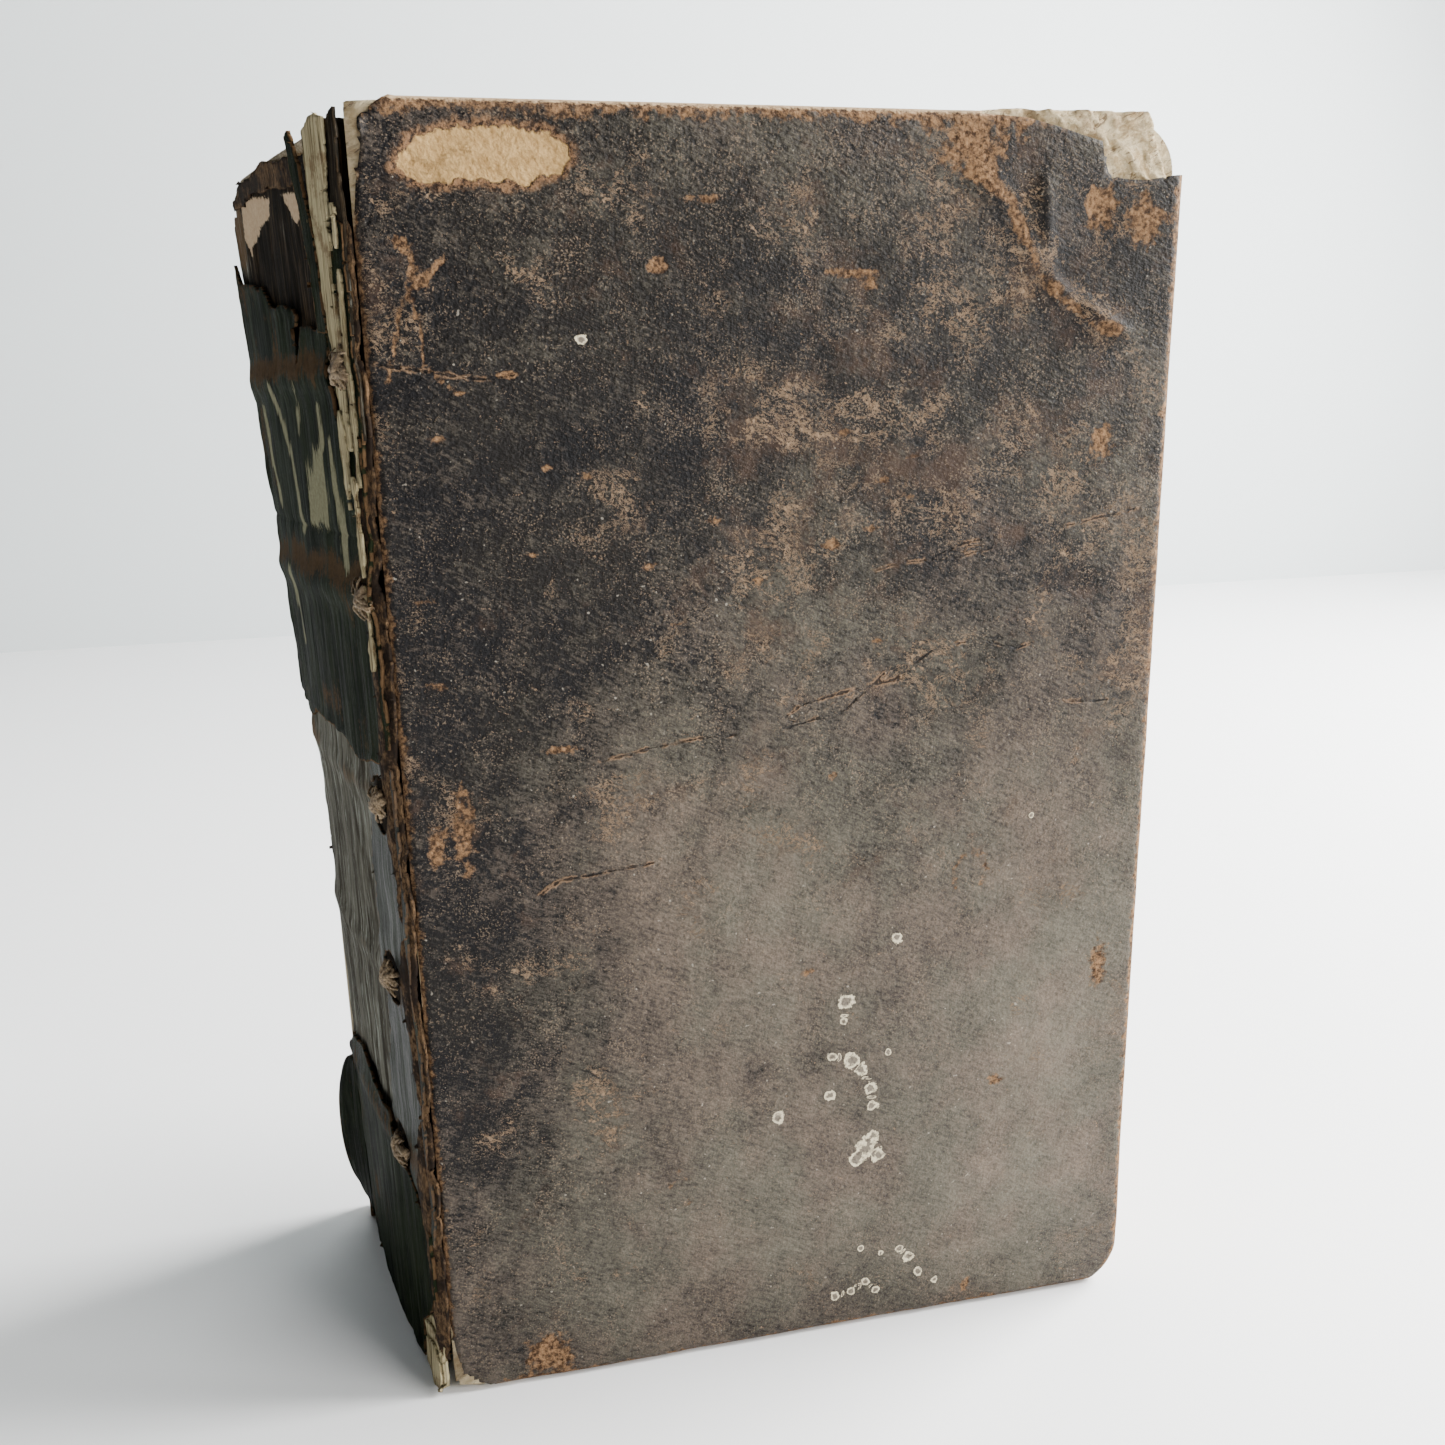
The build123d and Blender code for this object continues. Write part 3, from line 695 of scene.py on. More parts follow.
CRACKS = (
    ((1.0, 166.2), (8.3, 165.0), (15.0, 163.9), (19.9, 164.4)),
    ((29.2, 108.0), (37.0, 109.5), (44.9, 110.5), (54.5, 110.5), (61.0, 114.5), (69.2, 116.3), (77.5, 117.4)),
    ((81.4, 136.2), (87.2, 138.3), (95.5, 139.5), (104.1, 140.2), (116.1, 142.5)),
    ((70.8, 134.4), (77.3, 135.7), (85.6, 136.0), (91.4, 137.3)),
    ((75.9, 117.5), (82.5, 121.9), (90.1, 123.0), (96.2, 121.0), (102.2, 123.1)),
    ((54.5, 110.2), (67.6, 112.9), (74.2, 118.4)),
    ((98.0, 110.6), (103.6, 111.8), (112.6, 111.5)),
    ((18.9, 87.4), (22.1, 89.5), (28.4, 90.1), (37.9, 91.1)),
)
CHIPS = (
    (59.0, 183.7), (71.7, 176.0), (40.5, 178.5), (72.0, 141.3), (65.2, 138.9), (74.2, 148.3), (77.6, 145.9),
    (78.6, 151.7), (67.4, 155.4), (8.8, 156.0), (41.4, 128.4), (54.1, 134.1), (73.2, 123.7), (47.8, 143.4),
    (20.5, 139.5), (38.0, 137.1), (5.2, 133.5), (24.0, 151.6), (29.5, 150.4), (6.0, 121.0),
)
DRIPS = (
    (67.9, 63.4, 1.5), (67.6, 59.8, 0.7), (65.6, 53.5, 0.8), (69.0, 52.3, 1.5), (70.8, 50.3, 1.1),
    (75.5, 53.0, 0.6), (72.3, 46.8, 1.2), (72.8, 43.3, 1.0), (65.3, 46.4, 1.1), (56.2, 43.6, 1.2),
    (71.6, 34.9, 1.9), (69.8, 33.3, 1.3), (74.0, 33.5, 1.2), (72.7, 37.3, 1.3), (70.9, 15.6, 0.6),
    (74.5, 13.9, 0.6), (77.9, 14.1, 0.8), (79.8, 12.2, 1.0), (66.1, 6.6, 0.9), (69.1, 7.0, 0.8),
    (71.7, 8.6, 0.9), (73.6, 6.5, 0.8), (81.6, 8.8, 0.9), (84.7, 6.5, 0.7), (76.9, 73.6, 1.0),
    (100.1, 92.8, 0.5), (29.3, 169.1, 0.8),
)


# Soft spots on the front cover, each (u, v, half width, half height, strength): paler and darker leather,
# partly painted sheen and shade, more and fewer scuffs, and leather rubbed down to orange-brown suede
# Paler and darker spots: partly the leather's own uneven tone, partly painted sheen of the bright floor
# (paler low down and towards the fore-edge) and painted shade (darker high up and by the spine); the darker
# spots at (108, 182), (94, 188) and (105, 131.6) are painted shade in dents of the relief.
TONE_SHEEN_AND_SHADE_SPOTS = (
    (66, 80, 30, 42, 0.26), (104, 60, 28, 55, 0.30), (65, 22, 55, 22, 0.30), (25, 160, 46, 40, -0.30),
    (75, 168, 30, 24, -0.2), (4, 110, 17, 75, -0.30), (112, 45, 16, 50, 0.08), (18, 45, 20, 50, 0.10),
    (108, 182, 11, 12, -0.5), (94, 188, 4, 8, -0.4), (105, 131.6, 4.4, 1.8, -0.35), (30, 150, 60, 40, -0.06),
    (85, 182, 30, 12, -0.12), (12, 60, 12, 50, -0.08), (92, 181, 22, 16, 0.12), (108, 130, 14, 30, -0.10),
)
SCUFF_SPOTS = (
    (66, 160, 24, 26, 0.5), (40, 134, 26, 14, 0.45), (86, 152, 12, 14, 0.35), (5, 168, 4, 22, 0.15),
    (112, 142, 9, 24, 0.7), (97, 176, 9, 10, 0.9), (8, 165, 9, 22, -0.7), (70, 55, 50, 42, -1.2),
    (18, 130, 16, 45, -0.9), (60, 20, 60, 20, -0.6),
)
RUBBED_SPOTS = (
    (87, 194, 7, 4, 0.8), (107, 187, 3, 3.6, 1.0), (114.5, 185, 4, 4.5, 0.9), (15.8, 5.5, 4.5, 4.2, 1.0),
    (113.7, 64.6, 2.8, 6, 0.8), (90.6, 4.3, 1.6, 1.6, 0.9), (95.2, 45, 1.8, 1.2, 0.9),
    (39.3, 33.5, 4, 6, 0.45), (8.3, 99, 2.2, 9, 0.85), (109.1, 152.9, 3.5, 4, 0.8),
    (47, 187.5, 3.2, 0.9, 0.9), (69.1, 177.7, 6, 0.9, 0.9), (23.3, 110.4, 4, 0.8, 0.9),
    (65.7, 102.3, 1.6, 1.2, 0.8), (18.5, 164.4, 2.6, 0.7, 1.0), (66, 139, 1, 1, 0.8),
    (40.3, 179.3, 2, 1.4, 0.7), (61.6, 69.5, 1.6, 1.0, 0.9), (4, 97, 1.5, 5, 0.8),
    (8.4, 177.6, 1.6, 2.6, 0.45), (5.8, 181.5, 2.0, 1.4, 0.45), (15.5, 190, 11, 1.0, 0.3),
    *[(at_u, at_v, 1.7, 0.8, 0.85) for at_u, at_v in CHIPS],
)


def front_relief(u, v):
    """How far the front cover's leather stands out at (u, v), in mm."""
    at = flat_points(u, v)
    push = 0.22 * noise(at, 40, 2, 3) + 0.11 * noise(at, 14, 2, 5) + 0.045 * noise(at, 3.2, 2, 7)
    lip = nearest_line(u, v, [FOLD_LIP])[2]
    crest = nearest_line(u, v, [FOLD_CREST])[2]
    push += 0.4 * bell(lip, 1.4)
    push += 0.65 * bell(crest, 0.9) * (1 + 0.8 * noise(at, 4, 2, 9))
    push -= 0.9 * blots(u, v, [(105, 182, 6, 8, 0.6), (95.5, 189, 2.6, 5, 0.4), (102, 177, 2.5, 2.5, 0.4)])
    push -= 0.35 * blots(u, v, [(105, 131.6, 4.2, 1.5, 1.0), (42, 133.5, 3.5, 0.9, 0.7)])
    for line_u, low, high in ((20, 16, 110), (5.5, 17, 71), (102, 142, 157)):
        push -= 0.08 * bell(u - line_u - 0.02 * (v - low), 0.5) * ((v > low) & (v < high))
    crack = nearest_line(u, v, CRACKS)[2]
    push += 0.05 * bell(crack, 1.1) - 0.10 * bell(crack, 0.5)
    oval = inside_outline(u, v, CREAM_OVAL)
    return push - 0.3 * smoothstep(-0.8, 0.8, oval)


def crack_fields(u, v, cracks):
    """Step and distance from each point to the nearest crack."""
    crack_u, crack_v, crack_gap = nearest_line(u, v, cracks)
    return {"crack": np.stack([crack_u, crack_v, 0 * u], -1), "crack_gap": crack_gap}


def front_fields(u, v):
    """What the leather material reads on the front cover."""
    at = flat_points(u, v)
    tone = 0.26 + 0.13 * noise(at, 26, 3, 11) + 0.07 * noise(at, 9, 3, 13)
    # The spots add painted sheen and shade to the leather's own tone.
    tone += blots(u, v, TONE_SHEEN_AND_SHADE_SPOTS)
    scuffs = 0.1 + 0.55 * noise(at, 17, 3, 23) + blots(u, v, SCUFF_SPOTS)
    width = rounded_width(v, CORNER_RADIUS)
    rim = np.minimum(np.minimum(v * 0.9, (HEIGHT - v) * 0.5), (width - u) * 1.1)
    # Along the fore-edge this band is partly worn leather and partly a painted glint of light from behind the
    # book.
    edge = 1.25 * np.exp(-(rim / 1.1)) + np.exp(-np.maximum(u, 0) / 1.0) + 0.6 * np.exp(-(width - u) / 1.3)
    edge += blots(u, v, RUBBED_SPOTS)
    ring = np.hypot(u - 89.5, (v - 84) * 0.8)
    edge += 0.55 * bell(ring - 2.8, 1.1)
    lip = nearest_line(u, v, [FOLD_LIP])[2]
    edge += 1.0 * bell(lip, 1.3) * (0.75 + 0.5 * noise(at, 5, 2, 29))
    edge += 0.75 * bell(nearest_line(u, v, TAN_LINES[:4])[2], 0.55)
    edge += 0.35 * bell(nearest_line(u, v, TAN_LINES[4:])[2], 0.4)
    bald = np.exp(-(HEIGHT - v) / 0.8) + np.exp(-np.maximum(u, 0) / 0.9) * smoothstep(178, 190, v)
    bald += 0.8 * np.exp(-(v / 0.8)) * smoothstep(24, 8, u)
    drops = np.array(DRIPS)
    away_u = (u[..., None] - drops[:, 0]) / drops[:, 2]
    away_v = (v[..., None] - drops[:, 1]) / drops[:, 2]
    nearest = np.argmin(np.hypot(away_u, away_v), -1)[..., None]
    drip_u = np.take_along_axis(away_u, nearest, -1)[..., 0]
    drip_v = np.take_along_axis(away_v, nearest, -1)[..., 0]
    return {
        "tone": np.clip(tone, 0, 1), "scuffs": scuffs, "edge": np.clip(edge, 0, 1.4), "bald": bald,
        "cream": inside_outline(u, v, CREAM_OVAL), **crack_fields(u, v, CRACKS),
        "drip": np.stack([drip_u, drip_v, 0 * u], -1), "drip_gap": np.hypot(drip_u, drip_v),
    }


BACK_CRACKS = (
    ((112.0, 150.0), (104.0, 148.5), (97.0, 149.5), (88.0, 147.0)),
    ((14.0, 60.0), (22.0, 62.0), (31.0, 61.0), (42.0, 63.5)),
    ((60.0, 31.0), (66.0, 36.0), (75.0, 38.0)),
)


def back_relief(u, v):
    """How far the back cover's leather stands out at (u, v), in mm."""
    at = flat_points(u, v)
    push = 0.2 * noise(at, 45, 2, 43) + 0.1 * noise(at, 13, 2, 45) + 0.045 * noise(at, 3.2, 2, 47)
    crack = nearest_line(u, v, BACK_CRACKS)[2]
    return push + 0.12 * bell(crack, 1.1) - 0.2 * bell(crack, 0.4)


def back_fields(u, v):
    """What the leather material reads on the back cover, which the photograph doesn't show."""
    at = flat_points(u, v)
    tone = 0.22 + 0.16 * noise(at, 34, 3, 51) + 0.07 * noise(at, 9, 3, 55)
    scuffs = 0.55 * noise(at, 24, 3, 53) - 0.3
    scuffs += blots(u, v, [(108, 30, 18, 24, 0.8), (60, 120, 30, 40, 0.35), (10, 160, 9, 40, 0.6)])
    width = rounded_width(v, CORNER_RADIUS)
    rim = np.minimum(np.minimum(v, HEIGHT - v) * 0.8, (width - u) * 1.1)
    edge = np.exp(-(rim / 1.3)) + 1.1 * np.exp(-np.maximum(u, 0) / 1.4)
    edge += blots(u, v, [(116, 5, 7, 7, 1.0), (116, 194, 6, 6, 0.9), (8, 190, 6, 5, 0.6)])
    far = np.full_like(u, 9.0)
    return {
        "tone": np.clip(tone, 0, 1), "scuffs": scuffs, "edge": np.clip(edge, 0, 1.4),
        "bald": np.exp(-(HEIGHT - v) / 0.7), "cream": -far, **crack_fields(u, v, BACK_CRACKS),
        "drip": np.stack([far, far, far], -1), "drip_gap": far,
    }


def cover_skin(side, relief, find_fields, lost):
    """The leather of one cover."""
    us = spaced(WIDTH, LEATHER_STEP, fine_start=False)
    vs = spaced(HEIGHT, LEATHER_STEP)
    points, faces, flats = cover_shell(us, vs, relief, lost)
    fields = find_fields(flats[:, 0], flats[:, 1])
    points, faces, fields = drop_unused(points, faces, fields)
    is_front = side == "front"
    faces = faces if is_front else faces[:, ::-1]
    piece = new_piece(f"{side}_leather", place_cover(points, is_front), faces, cover_leather,
                      f"{side}_cover", fields)
    thicken(piece, LEATHER_THICKNESS)
    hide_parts(f"{side}_cover_leather")


cover_skin("front", front_relief, front_fields, (LOST_CORNER, *LOST_AT_JOINT))
cover_skin("back", back_relief, back_fields, ())


# ---- Worn pasteboard corner ----
PLY_WIDTH = 120.2
PLY_TOP = 199.2
PLY_FACE = 0.86
PLY_REAR = 2.5
PLY_RADIUS = 9.2
CHAMFER_FOOT = 191


def bare_corner():
    """Outer ply of the front board, crumbled into layers where the leather is gone."""
    us = np.concatenate([np.arange(0, 94, 4.0), np.arange(94, 117, 0.45), np.linspace(117, PLY_WIDTH, 9)])
    vs = np.concatenate([np.arange(0.8, 174, 4.0), np.arange(174, 196, 0.45), np.linspace(196, PLY_TOP, 9)])
    grid_v, grid_u = grid(vs, us)
    at = flat_points(grid_u, grid_v)
    past_u = np.maximum(grid_u - (WIDTH - 12), 0)
    past_v = np.maximum(grid_v - (HEIGHT - 11), 0)
    corner = np.hypot(past_u, past_v) / 12
    rough = 0.5 + 0.5 * noise(at, 6, 4, 61)
    exposed = smoothstep(-1.5, 0.5, inside_outline(grid_u, grid_v, LOST_CORNER))
    layer = np.floor((rough + 0.9 * corner) * 3.2) / 3.2
    depth = PLY_FACE + exposed * (0.75 * layer + 0.25 * noise(at, 1.3, 3, 63) - 0.5)
    ragged = 0.35 * noise(at, 3, 3, 67) * exposed
    chamfer = PLY_WIDTH - 1 - 0.56 * (grid_v - CHAMFER_FOOT)
    reach = np.where(grid_v > CHAMFER_FOOT, chamfer, PLY_WIDTH) + ragged
    low_corner = np.maximum(CORNER_RADIUS - grid_v, 0)
    pull = PLY_RADIUS - np.sqrt(PLY_RADIUS ** 2 - low_corner ** 2)
    face_u = grid_u * (reach - pull) / PLY_WIDTH
    swell = 1.1 * smoothstep(188, 199, grid_v) * smoothstep(86, 98, grid_u)
    grid_v = grid_v + swell + 0.5 * ragged
    front = np.stack([face_u, depth, grid_v], -1)
    rear = np.stack([face_u, np.full_like(depth, PLY_REAR), grid_v], -1)
    points, faces = closed_sheet(front, rear)
    piece = new_piece("front_outer_ply", place_cover(points, True), faces, pasteboard, "front_cover")
    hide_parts("front_board_outer_ply")


def closed_sheet(front, rear):
    """Closed slab between two grids of points."""
    rows, columns = front.shape[:2]
    count = rows * columns
    points = np.concatenate([front.reshape(-1, 3), rear.reshape(-1, 3)])
    near = grid_faces(rows, columns)
    index = np.arange(count).reshape(rows, columns)
    rim = np.concatenate([index[0], index[1:, -1], index[-1, :-1][::-1], index[1:-1, 0][::-1]])
    after = np.roll(rim, -1)
    walls = np.stack([rim, rim + count, after + count, after], -1)
    return points, np.concatenate([near, near[:, ::-1] + count, walls])


bare_corner()
CARRIED_OVER = (("board_outer_ply", pasteboard), ("board_inner_ply", pasteboard), ("cord_slips", hemp))
for side in ("front", "back"):
    for node, material in CARRIED_OVER:
        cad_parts[f"{side}_{node}"].data.materials.clear()
        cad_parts[f"{side}_{node}"].data.materials.append(material)


# ---- Text block ----
def spine_share(y):
    """How far through the thickness a depth is, from 0 at the front face to 1 at the back face."""
    return (y - FRONT_Y) / THICKNESS


def lean(y, z):
    """Twist of the slumped text block and spine: the far side leans out at the head and in at the foot."""
    share = spine_share(y)
    flare = HEAD_FLARE * share ** 3 * np.clip((z - 100) / 100, 0, 1) ** 1.3
    return -share * (z / HEIGHT * (HEAD_LEAN + FOOT_LEAN) - FOOT_LEAN) - flare


def spine_x(y, z, out=0.0):
    """X on the slanting, slightly rounded spine at a depth and height, a distance outside its line."""
    t = spine_share(y)
    return HINGE_X - SPINE_SKEW * t - 4 * SPINE_BULGE * t * (1 - t) - out + lean(y, z)


SHEETS = 12
PAGE_WIDTH = 117.5
PAGE_HEIGHT = 193.0
PAPER_THICKNESS = 0.14


def gathering(number):
    """One gathering: a stack of sheets whose edges don't quite line up."""
    node = f"gathering_{number:02d}"
    low, high = cad_box(node)
    across = np.array([0, 0.6, 2, 8, 30, 60, 90, 108, 113, 115.5, 116.8, PAGE_WIDTH])
    near_end = np.array([0, 0.5, 1.5, 4])
    heights = np.concatenate([near_end, np.linspace(10, PAGE_HEIGHT - 10, 16), PAGE_HEIGHT - near_end[::-1]])
    pitch = (high[1] - low[1]) / SHEETS
    half = pitch * 0.44
    sheets, tint = [], []
    for sheet in range(SHEETS):
        chance = hashed(np.full(4, number), np.full(4, sheet), np.arange(4), 77)
        middle = low[1] + (sheet + 0.5) * pitch
        grid_z, grid_x = grid(heights, across)
        share = grid_x / PAGE_WIDTH
        worn = 2.2 + 1.2 * chance[2]
        past_x = np.maximum(grid_x - (PAGE_WIDTH - worn), 0)
        past_z = np.maximum(np.maximum(worn - grid_z, grid_z - (PAGE_HEIGHT - worn)), 0)
        over = np.maximum(np.hypot(past_x, past_z) - worn, 0)
        away = np.maximum(np.hypot(past_x, past_z), 1e-6)
        fold = 1.1 * (abs(sheet + 0.5 - SHEETS / 2) / (SHEETS / 2)) ** 3
        at = np.stack([grid_x, np.full_like(grid_x, sheet * 3.1 + number * 40), grid_z], -1)
        trim = 0.22 + 0.16 * chance[0] + 0.12 * noise(at, 34, 2, 71) + 0.10 * noise(at, 5, 2, 73)
        x = spine_x(middle, grid_z + low[2]) + 0.36 + grid_x
        x = x + fold * (1 - share) ** 6 - trim * share ** 8 - over * past_x / away
        top = low[2] + grid_z
        inset = 0.16 + 0.14 * chance[1] + 0.14 * noise(at, 16, 2, 79)
        from_middle = grid_z / (PAGE_HEIGHT / 2) - 1
        top = top - np.sign(from_middle) * (inset * np.abs(from_middle) ** 20 + over * past_z / away)
        wave = 0.05 * noise(np.stack([grid_x, 0 * grid_x + number, grid_z], -1), 30, 2, 83)
        front = np.stack([x, middle - half + wave, top], -1)
        rear = np.stack([x, middle + half + wave, top], -1)
        sheets.append(closed_sheet(front, rear))
        tint.append(np.full(len(sheets[-1][0]), 0.5 + 0.45 * chance[3]))
    points, faces = joined(sheets)
    piece = new_piece(f"sheets_{number:02d}", points, faces, page_edges, "text_block",
                      {"tint": np.concatenate(tint)}, smooth=False)
    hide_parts(node)


for number in range(1, GATHERINGS + 1):
    gathering(number)


def loose_leaf(node, seed):
    """A leaf that turns: thin, a little wavy, with a worn outer edge."""
    low, high = cad_box(node)
    across = np.linspace(0, high[0] - low[0], 46)
    up = np.linspace(0, high[2] - low[2], 72)
    grid_z, grid_x = grid(up, across)
    at = flat_points(grid_x, grid_z + seed * 100)
    share = grid_x / across[-1]
    wave = 0.09 * noise(at, 45, 2, seed) + 0.03 * noise(at, 12, 2, seed + 1)
    worn = 0.35 * (noise(at, 9, 3, seed + 2) + 0.4) * share ** 30
    tall = (np.abs(grid_z / up[-1] - 0.5) * 2) ** 40
    drop = 0.3 * (noise(at, 11, 3, seed + 3) + 0.4) * tall * np.sign(grid_z - up[-1] / 2)
    x = low[0] + grid_x - np.maximum(worn, 0)
    z = low[2] + grid_z - drop
    y = (low[1] + high[1]) / 2 + wave
    half = PAPER_THICKNESS / 2
    points, faces = closed_sheet(np.stack([x, y - half, z], -1), np.stack([x, y + half, z], -1))
    rim = np.minimum(np.minimum(grid_x * 4, across[-1] - grid_x), np.minimum(grid_z, up[-1] - grid_z))
    edge = np.exp(-rim / 9).reshape(-1)
    piece = new_piece(f"{node}_paper", points, faces, endpaper, node, {"edge": np.concatenate([edge, edge])})
    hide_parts(node)


for seed, leaf in enumerate(("front_flyleaf", "front_leaf_1", "front_leaf_2", "back_flyleaf"), start=91):
    loose_leaf(leaf, seed)


PASTED_INSET = 4.0
PASTED_DEPTH = 4.86


def pasted_paper(side):
    """Endpaper pasted inside a cover, cockled, with the laced cords showing through as ridges."""
    us = np.concatenate([[0.0, 0.4], np.arange(1.2, 116.8, 1.4), [WIDTH - PASTED_INSET]])
    vs = np.concatenate([[PASTED_INSET], np.arange(4.6, HEIGHT - 4.6, 1.4), [HEIGHT - PASTED_INSET]])
    grid_v, grid_u = grid(vs, us)
    at = flat_points(grid_u, grid_v + (0 if side == "front" else 300))
    ends = np.minimum(grid_v, HEIGHT - grid_v)
    rim = np.minimum(ends, WIDTH - grid_u) - PASTED_INSET
    turned = smoothstep(7.0, 9.5, rim)
    push = 0.07 * noise(at, 20, 3, 95) - 0.38 * turned
    for level in CORD_HEIGHTS:
        push = push + 0.22 * bell(grid_v - level, 1.6) * smoothstep(16, 12, grid_u)
    torn = 0.5 * smoothstep(1.5, 0, rim) * noise(at, 3, 3, 97)
    depth = PASTED_DEPTH + np.clip(push, -0.45, 0.1)
    front = np.stack([grid_u, depth, grid_v + torn * np.sign(HEIGHT / 2 - grid_v)], -1)
    rear = front - np.array([0, PAPER_THICKNESS, 0])
    points, faces = closed_sheet(front, rear)
    edge = np.exp(-np.minimum(rim, 30) / 10).reshape(-1)
    is_front = side == "front"
    faces = faces[:, ::-1] if is_front else faces
    piece = new_piece(f"{side}_endpaper", place_cover(points, is_front), faces, endpaper, f"{side}_cover",
                      {"edge": np.concatenate([edge, edge])})
    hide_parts(f"{side}_pastedown")


pasted_paper("front")
pasted_paper("back")


# ---- Cords, thread and endbands ----
ROPE_STEP = 0.3
ROPE_SIDES = 18


def rope(path, radius, strands, pitch, ridge):
    """Twisted rope along a path in mm: points and faces of a closed tube with strand ridges."""
    path = np.asarray(path, float)
    ahead = np.gradient(path, axis=0)
    length = np.concatenate([[0], np.cumsum(np.linalg.norm(np.diff(path, axis=0), axis=1))])
    ahead /= np.linalg.norm(ahead, axis=1)[:, None]
    up = np.array([0, 0, 1.0])
    side = np.cross(ahead, up)
    side /= np.linalg.norm(side, axis=1)[:, None]
    top = np.cross(side, ahead)
    around = np.linspace(0, 2 * np.pi, ROPE_SIDES, endpoint=False)
    phase = strands * around[None, :] + 2 * np.pi * length[:, None] / pitch
    swell = radius * (1 - ridge + ridge * np.abs(np.sin(phase / 2)))
    ring = side[:, None] * (swell * np.cos(around))[..., None]
    ring = ring + top[:, None] * (swell * np.sin(around))[..., None]
    points = (path[:, None] + ring).reshape(-1, 3)
    rows = len(path)
    start = np.arange(rows * ROPE_SIDES).reshape(rows, ROPE_SIDES)
    turned = np.roll(start, -1, 1)
    walls = np.stack([start[:-1], turned[:-1], turned[1:], start[1:]], -1).reshape(-1, 4)
    return points, [list(w) for w in walls] + [list(start[0][::-1]), list(start[-1])]


def spine_path(level, inset, near, far):
    """Points along the spine at one height, inside the folds by an inset."""
    ys = np.arange(near, far, ROPE_STEP)
    return np.stack([spine_x(ys, level, -inset), ys, np.full_like(ys, level)], -1)


def spine_rope(name, node, levels, inset, radius, strands, pitch, ridge, material):
    """Cord, thread or endband that crosses the spine at one or more heights."""
    low, high = cad_box(node)
    paths = [spine_path(level, inset, low[1] + 0.2, high[1] - 0.2) for level in levels]
    points, faces = joined([rope(path, radius, strands, pitch, ridge) for path in paths])
    piece = new_piece(name, points, faces, material, "text_block")
    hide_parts(node)


for number, level in enumerate(CORD_HEIGHTS, start=1):
    spine_rope(f"raised_cord_{number}", f"sewing_cord_{number}", [level], 1.1, 1.0, 3, 2.6, 0.28, hemp)
spine_rope("kettle_thread", "kettle_stitches", [14.5, 183.5], 0.7, 0.4, 2, 1.2, 0.3, linen)
spine_rope("head_band", "head_endband", [196.5], 1.3, 0.95, 1, 0.75, 0.25, linen)
spine_rope("tail_band", "tail_endband", [1.5], 1.3, 0.95, 1, 0.75, 0.25, linen)


# ---- Spine ----
def spine_sheet(name, outline, out, thickness, relief, find_fields, material, step=0.6, holes=()):
    """Torn sheet on the spine with ragged edges. Outline points are (mm behind the front face, height), and
    out is how far it stands outside the line of the spine."""
    outline = np.array(outline, float)
    low, high = outline.min(0) - 1, outline.max(0) + 1
    ys = np.arange(low[0], high[0], step)
    zs = np.arange(low[1], high[1], step)
    grid_z, grid_y = grid(zs, ys)
    at = flat_points(grid_y, grid_z)
    torn = inside_outline(grid_y, grid_z, [tuple(p) for p in outline])
    for hole in holes:
        torn = np.minimum(torn, -inside_outline(grid_y, grid_z, hole))
    torn = torn + 0.5 * noise(at, 3.5, 4, 31)
    slope_z, slope_y = np.gradient(torn, step)
    steep = np.maximum(slope_y ** 2 + slope_z ** 2, 0.2)
    close = np.abs(torn) < 0.62 * step
    move_y = np.where(close, -torn * slope_y / steep, 0)
    move_z = np.where(close, -torn * slope_z / steep, 0)
    y, z = grid_y + move_y, grid_z + move_z
    push = relief(y, z, torn)
    world_y = FRONT_Y + y
    x = spine_x(world_y, z, out + push)
    points = np.stack([x, world_y, z], -1).reshape(-1, 3)
    faces = grid_faces(*grid_y.shape)
    keep = (torn.reshape(-1)[faces] > -0.62 * step).all(1) & (torn.reshape(-1)[faces].mean(1) > 0)
    fields = {key: value.reshape(-1) for key, value in find_fields(y, z, torn).items()}
    points, faces, fields = drop_unused(points, faces[keep], fields)
    piece = new_piece(name, points, faces[:, ::-1], material, "text_block", fields)
    return thicken(piece, thickness)


def bands(z):
    """Ridges over the raised cords."""
    return sum(bell(z - level, 2.3) for level in CORD_HEIGHTS)


def torn_rim(torn, width):
    """Worn rim of a torn sheet, 1 at its edge."""
    return np.exp(-np.maximum(torn, 0) / width)


def spine_creases(y, z, seed):
    """Upright creases of cracked spine leather."""
    at = np.stack([y, 0 * y, z / 12], -1)
    return noise(at, 2.4, 4, seed)


UPPER_LEATHER = (
    (0.8, 112.0), (0.8, 156.5), (7.5, 158.0), (9.0, 165.0), (9.4, 171.5), (14.8, 172.0), (19.6, 172.4),
    (22.4, 166.0), (23.0, 172.0), (22.0, 174.0), (25.0, 175.4), (34.4, 176.2), (39.2, 179.4), (54.0, 181.0),
    (56.4, 184.5), (58.0, 178.0), (57.6, 150.0), (57.2, 111.0), (46.0, 107.4),
    (40.0, 110.5), (30.2, 110.4), (22.0, 109.6), (14.0, 107.0), (8.5, 108.8), (3.5, 109.0),
)
STREAKS = (
    ((41, 163.2), (37, 158), (33.6, 152.8), (31, 142)),
    ((50.4, 160.8), (49.6, 152.2), (47, 146)),
    ((25.4, 163.2), (26.4, 157)),
    ((16.4, 160.5), (16, 155)),
    ((12.5, 156), (10, 138)),
    ((45, 133), (42, 122)),
)
CREAM_STREAK = ((22.4, 155.5), (14.8, 156.0), (15.4, 147.8), (16.7, 143.5), (27.0, 142.5))


def upper_relief(y, z, torn):
    """Relief of the upper spine leather: raised bands, fine creases and curled edges."""
    curl = 0.30 * bell(torn - 0.2, 0.8) * (0.5 + noise(flat_points(y, z), 6, 2, 35))
    panel = 0.25 * bell(z - 142.6, 0.5)
    return 0.7 * bands(z) + 0.12 * spine_creases(y, z, 33) + curl - panel


